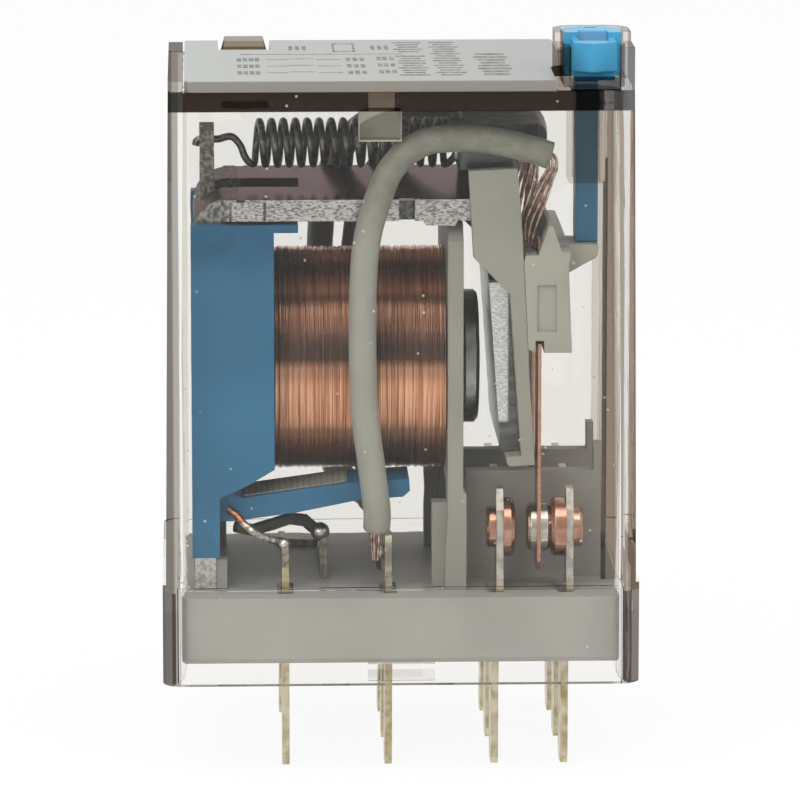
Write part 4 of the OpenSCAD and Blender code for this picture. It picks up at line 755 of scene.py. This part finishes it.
# The heat of the weld has browned the upper ends
regions(leaf_copper, ("#7C5C50", "#5E463D", 0.3, 0.4, (("Z", 29.6, 40, 0.1),)))
dress(leaf_copper, *[f"{kind}_{row}" for kind in ("leaf_root", "contact_leaf") for row in poles])
rivet_copper = plated("copper_rivet", "#CDA08D", "#AE7C68", 0.9, 0.16)
dress(rivet_copper, *[f"{kind}_contact_{row}" for kind in ("no", "nc") for row in poles])
silver = plated("silver_alloy", "#CFCCC3", "#B3AEA5", 0.9, 0.16)
dress(silver, *[f"moving_contact_{row}" for row in poles])


# ---- Sleeves ----------------------------------------------------------------------------
# Extruded silicone tubes, warm grey and satin, cut square at both ends. They carry the
# braids from the contact springs over the coil and down to the common tags.

silicone, tree, output = blank("grey_silicone")
where = add(tree, "ShaderNodeTexCoord")
cloud = add(tree, "ShaderNodeTexNoise", {"Scale": 400.0, "Detail": 3.0},
            {"Vector": where.outputs["Object"]})
tone = add(tree, "ShaderNodeMix", {"A": linear("#979891"), "B": linear("#A8A9A3")},
           {"Factor": cloud.outputs["Fac"]}, data_type="RGBA")
surface = add(tree, "ShaderNodeBsdfPrincipled",
              {"Roughness": 0.48, "IOR": 1.41, "Subsurface Weight": 0.15,
               "Subsurface Radius": (0.4, 0.4, 0.35), "Subsurface Scale": 0.001},
              {"Base Color": tone.outputs["Result"]})
tree.links.new(surface.outputs[0], output.inputs["Surface"])
# Under the top of the cover the sleeves are in shade
regions(silicone, ("#7C7D75", "#87887F", 0.5, None, (("Z", 32.5, 40, 2.5),)))

sleeve_radius, sleeve_wall = 0.8, 0.27
# The middle lines of the sleeves, as in the construction
routes = {
    1: [(8.6, -8.05, 36.1), (7.6, -8.05, 36.45), (6.6, -8.05, 36.7), (5.2, -8.05, 37),
        (3.9, -8.05, 37.1), (2.6, -8.05, 37.1), (1.5, -8.05, 36.95), (0.6, -8.05, 36.5),
        (-0.1, -8.05, 35.9), (-0.75, -8.1, 35), (-1.2, -8.1, 33.9), (-1.6, -8.1, 32.7),
        (-1.95, -8.1, 31.2), (-2.15, -8.1, 29), (-2.2, -8.1, 26.5), (-2.2, -8.1, 24),
        (-2.15, -8.1, 21.8), (-1.95, -8.05, 19.9), (-1.7, -7.95, 18), (-1.5, -7.8, 16.4),
        (-1.35, -7.4, 15.1), (-1.36, -7, 14.15)],
    2: [(8.3, 4.1, 35.1), (8.35, 4.4, 35.9), (8.05, 4.75, 36.6), (7.3, 5, 37.05),
        (6.1, 5.2, 37.25), (4.7, 5.4, 37.25), (3.3, 5.6, 37.25), (1.9, 6, 37.15),
        (0.6, 6.5, 36.9), (-0.6, 7, 36.45), (-1.7, 7.5, 35.8), (-2.6, 7.9, 34.9),
        (-3.3, 8.1, 33.8), (-3.8, 8.1, 32.5), (-4.1, 8.1, 31), (-4.3, 8.1, 29),
        (-4.4, 8.05, 26), (-4.4, 8, 22), (-4.2, 7.8, 18.6), (-3.9, 7.1, 16.5),
        (-3.4, 5.8, 15.2), (-2.8, 4.2, 14.75), (-2.2, 2.6, 14.6), (-1.7, 1.2, 14.5),
        (-1.45, 0.3, 14.32)],
    3: [(8.6, 8.05, 36.1), (7.6, 8.05, 36.45), (6.4, 8.05, 36.7), (5, 8.05, 36.75),
        (3.6, 8.05, 36.5), (2.4, 8.05, 36), (1.3, 8.05, 35.3), (0.4, 8.05, 34.5),
        (-0.5, 8.1, 33.5), (-1.3, 8.1, 32.2), (-1.9, 8.1, 30.6), (-2.2, 8.05, 28.8),
        (-2.3, 8, 26.5), (-2.3, 8, 24), (-2.2, 7.95, 21), (-2.05, 7.85, 18.8),
        (-1.8, 7.6, 17), (-1.5, 7.2, 15.4), (-1.36, 6.9, 14.15)],
}
for row, route in routes.items():
    sleeve = tube(f"silicone_sleeve_{row}", [route], sleeve_radius, silicone, "relay_frame",
                  sides=6, steps=5)
    # The ends are opened, and a wall is given inwards
    shape = bmesh.new()
    shape.from_mesh(sleeve.data)
    bmesh.ops.remove_doubles(shape, verts=shape.verts, dist=0.000001)
    caps = [face for face in shape.faces if len(face.verts) > 4]
    bmesh.ops.delete(shape, geom=caps, context="FACES_ONLY")
    bmesh.ops.recalc_face_normals(shape, faces=shape.faces)
    shape.to_mesh(sleeve.data)
    shape.free()
    for face in sleeve.data.polygons:
        face.use_smooth = True
    wall = sleeve.modifiers.new("wall", "SOLIDIFY")
    wall.thickness = sleeve_wall / 1000
    wall.offset = -1
    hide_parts(f"sleeve_{row}")


# ---- Braided leads ----------------------------------------------------------------------
# Each lead is a loose bundle of fine copper strands. Out of the sleeve they fan out, and
# their ends are welded together on the contact spring's root and on the common tag.

strand_copper = plated("copper_strand", "#DCC4B8", "#8E6455", 0.4, 0.3)
strand_count, strand_radius, bundle_radius = 7, 0.085, 0.27
# How far the strands spread at each point of the upper stretch
spreads = (0.5, 1.3, 1.5, 1.25, 1.0, 0.9, 0.9, 0.9)
twist = 0.35
# From the spring's root up to the mouth of the sleeve
tops = {
    1: [(7.51, -6.8, 30.55), (7.56, -6.9, 31.8), (7.95, -7.2, 33.2), (8.42, -7.6, 34.6),
        (8.75, -7.95, 35.55)],
    2: [(7.51, 0, 30.55), (7.56, 0.2, 31.5), (7.88, 1.1, 32.7), (8.15, 2.5, 33.7),
        (8.25, 3.5, 34.4)],
    3: [(7.51, 6.8, 30.55), (7.56, 6.9, 31.8), (7.95, 7.2, 33.2), (8.42, 7.6, 34.6),
        (8.75, 7.95, 35.55)],
}
for row, top in tops.items():
    route = routes[row]
    end = route[-1]
    strands = []
    for count in range(strand_count):
        # The last strand lies in the middle of the others
        turn = math.tau * count / (strand_count - 1)
        reach = 0.0 if count == strand_count - 1 else bundle_radius
        path = []
        for step, (place, spread) in enumerate(zip(top + route[:3], spreads)):
            angle = turn + twist * step
            path.append((place[0] + reach * spread * math.cos(angle),
                         place[1] + reach * spread * math.sin(angle),
                         place[2] + 0.03 * math.sin(count * 2.1)))
        strands.append(path)
        # The short stretch from the lower mouth of the sleeve to the tag
        strands.append([(x + reach * math.cos(turn) * size, y + reach * math.sin(turn) * size, z)
                        for (x, y, z), size in ((route[-2], 0.9), (end, 0.9),
                                                ((-1.39, end[1], 13.2), 1.0),
                                                ((-1.4, end[1], 12.2), 0.6))])
    lead = tube(f"strands_{row}", strands, strand_radius, strand_copper, "relay_frame",
                sides=1, steps=4)
    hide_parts(f"braid_{row}")


# ---- Test button ------------------------------------------------------------------------
# One glossy moulding of light blue acetal: head with a finger recess, prow-shaped nose and
# a long plunger. It slides in the boss of the cover.

button_blue = moulded("light_blue_acetal", "#50A6D0", "#479BC4", 0.25, 0.28, edge_mm=0.12)
tree = button_blue.node_tree
# The plunger, which stands in the shade of the cover, is painted a deeper blue as painted shade
surface = shader_of(button_blue)
where = add(tree, "ShaderNodeTexCoord")
axes = add(tree, "ShaderNodeSeparateXYZ", links={0: where.outputs["Object"]})
below = add(tree, "ShaderNodeMapRange", {"From Min": 0.0408, "From Max": 0.0398},
            {"Value": axes.outputs["Z"]})
tone = add(tree, "ShaderNodeMix", {"B": linear("#2C6889")},
           {"Factor": below.outputs[0], "A": surface.inputs["Base Color"].links[0].from_socket},
           data_type="RGBA")
tree.links.new(tone.outputs["Result"], surface.inputs["Base Color"])
# The finger recess lies in its own shade
regions(button_blue, ("#2F7BA3", "#2A6E92", 1.0, None, (
    ("X", 10.3, 12.0, 0.02), ("Y", -7.70, -5.25, 0.05), ("Z", 42.0, 42.93, 0.03))))
dress(button_blue, "test_button")


# ---- Solder and welds -------------------------------------------------------------------
# Tin solder holds the leads on the coil tags and the braids on the common tags. It has run
# up the strands and set as small bright beads.

tin = plated("tin_solder", "#D6D4CE", "#A9A7A0", 0.4, 0.25)
shape = bmesh.new()
bead_radius = 0.5
for x, y, z, wide, tall in ((-6.75, -7.05, 13.2, 0.75, 0.7), (-4.6, -3.5, 13.2, 1.15, 1.15),
                            (-1.2, -6.85, 12.7, 0.7, 1.1), (-1.2, -0.05, 12.7, 0.7, 1.1),
                            (-1.2, 6.85, 12.7, 0.7, 1.1)):
    bead = bmesh.ops.create_icosphere(shape, subdivisions=3,
                                       radius=bead_radius / 1000)["verts"]
    bmesh.ops.scale(shape, verts=bead, vec=(wide, wide, tall))
    bmesh.ops.translate(shape, verts=bead, vec=(x / 1000, y / 1000, z / 1000))
piece("solder_beads", shape, tin, "relay_frame", smooth=True)
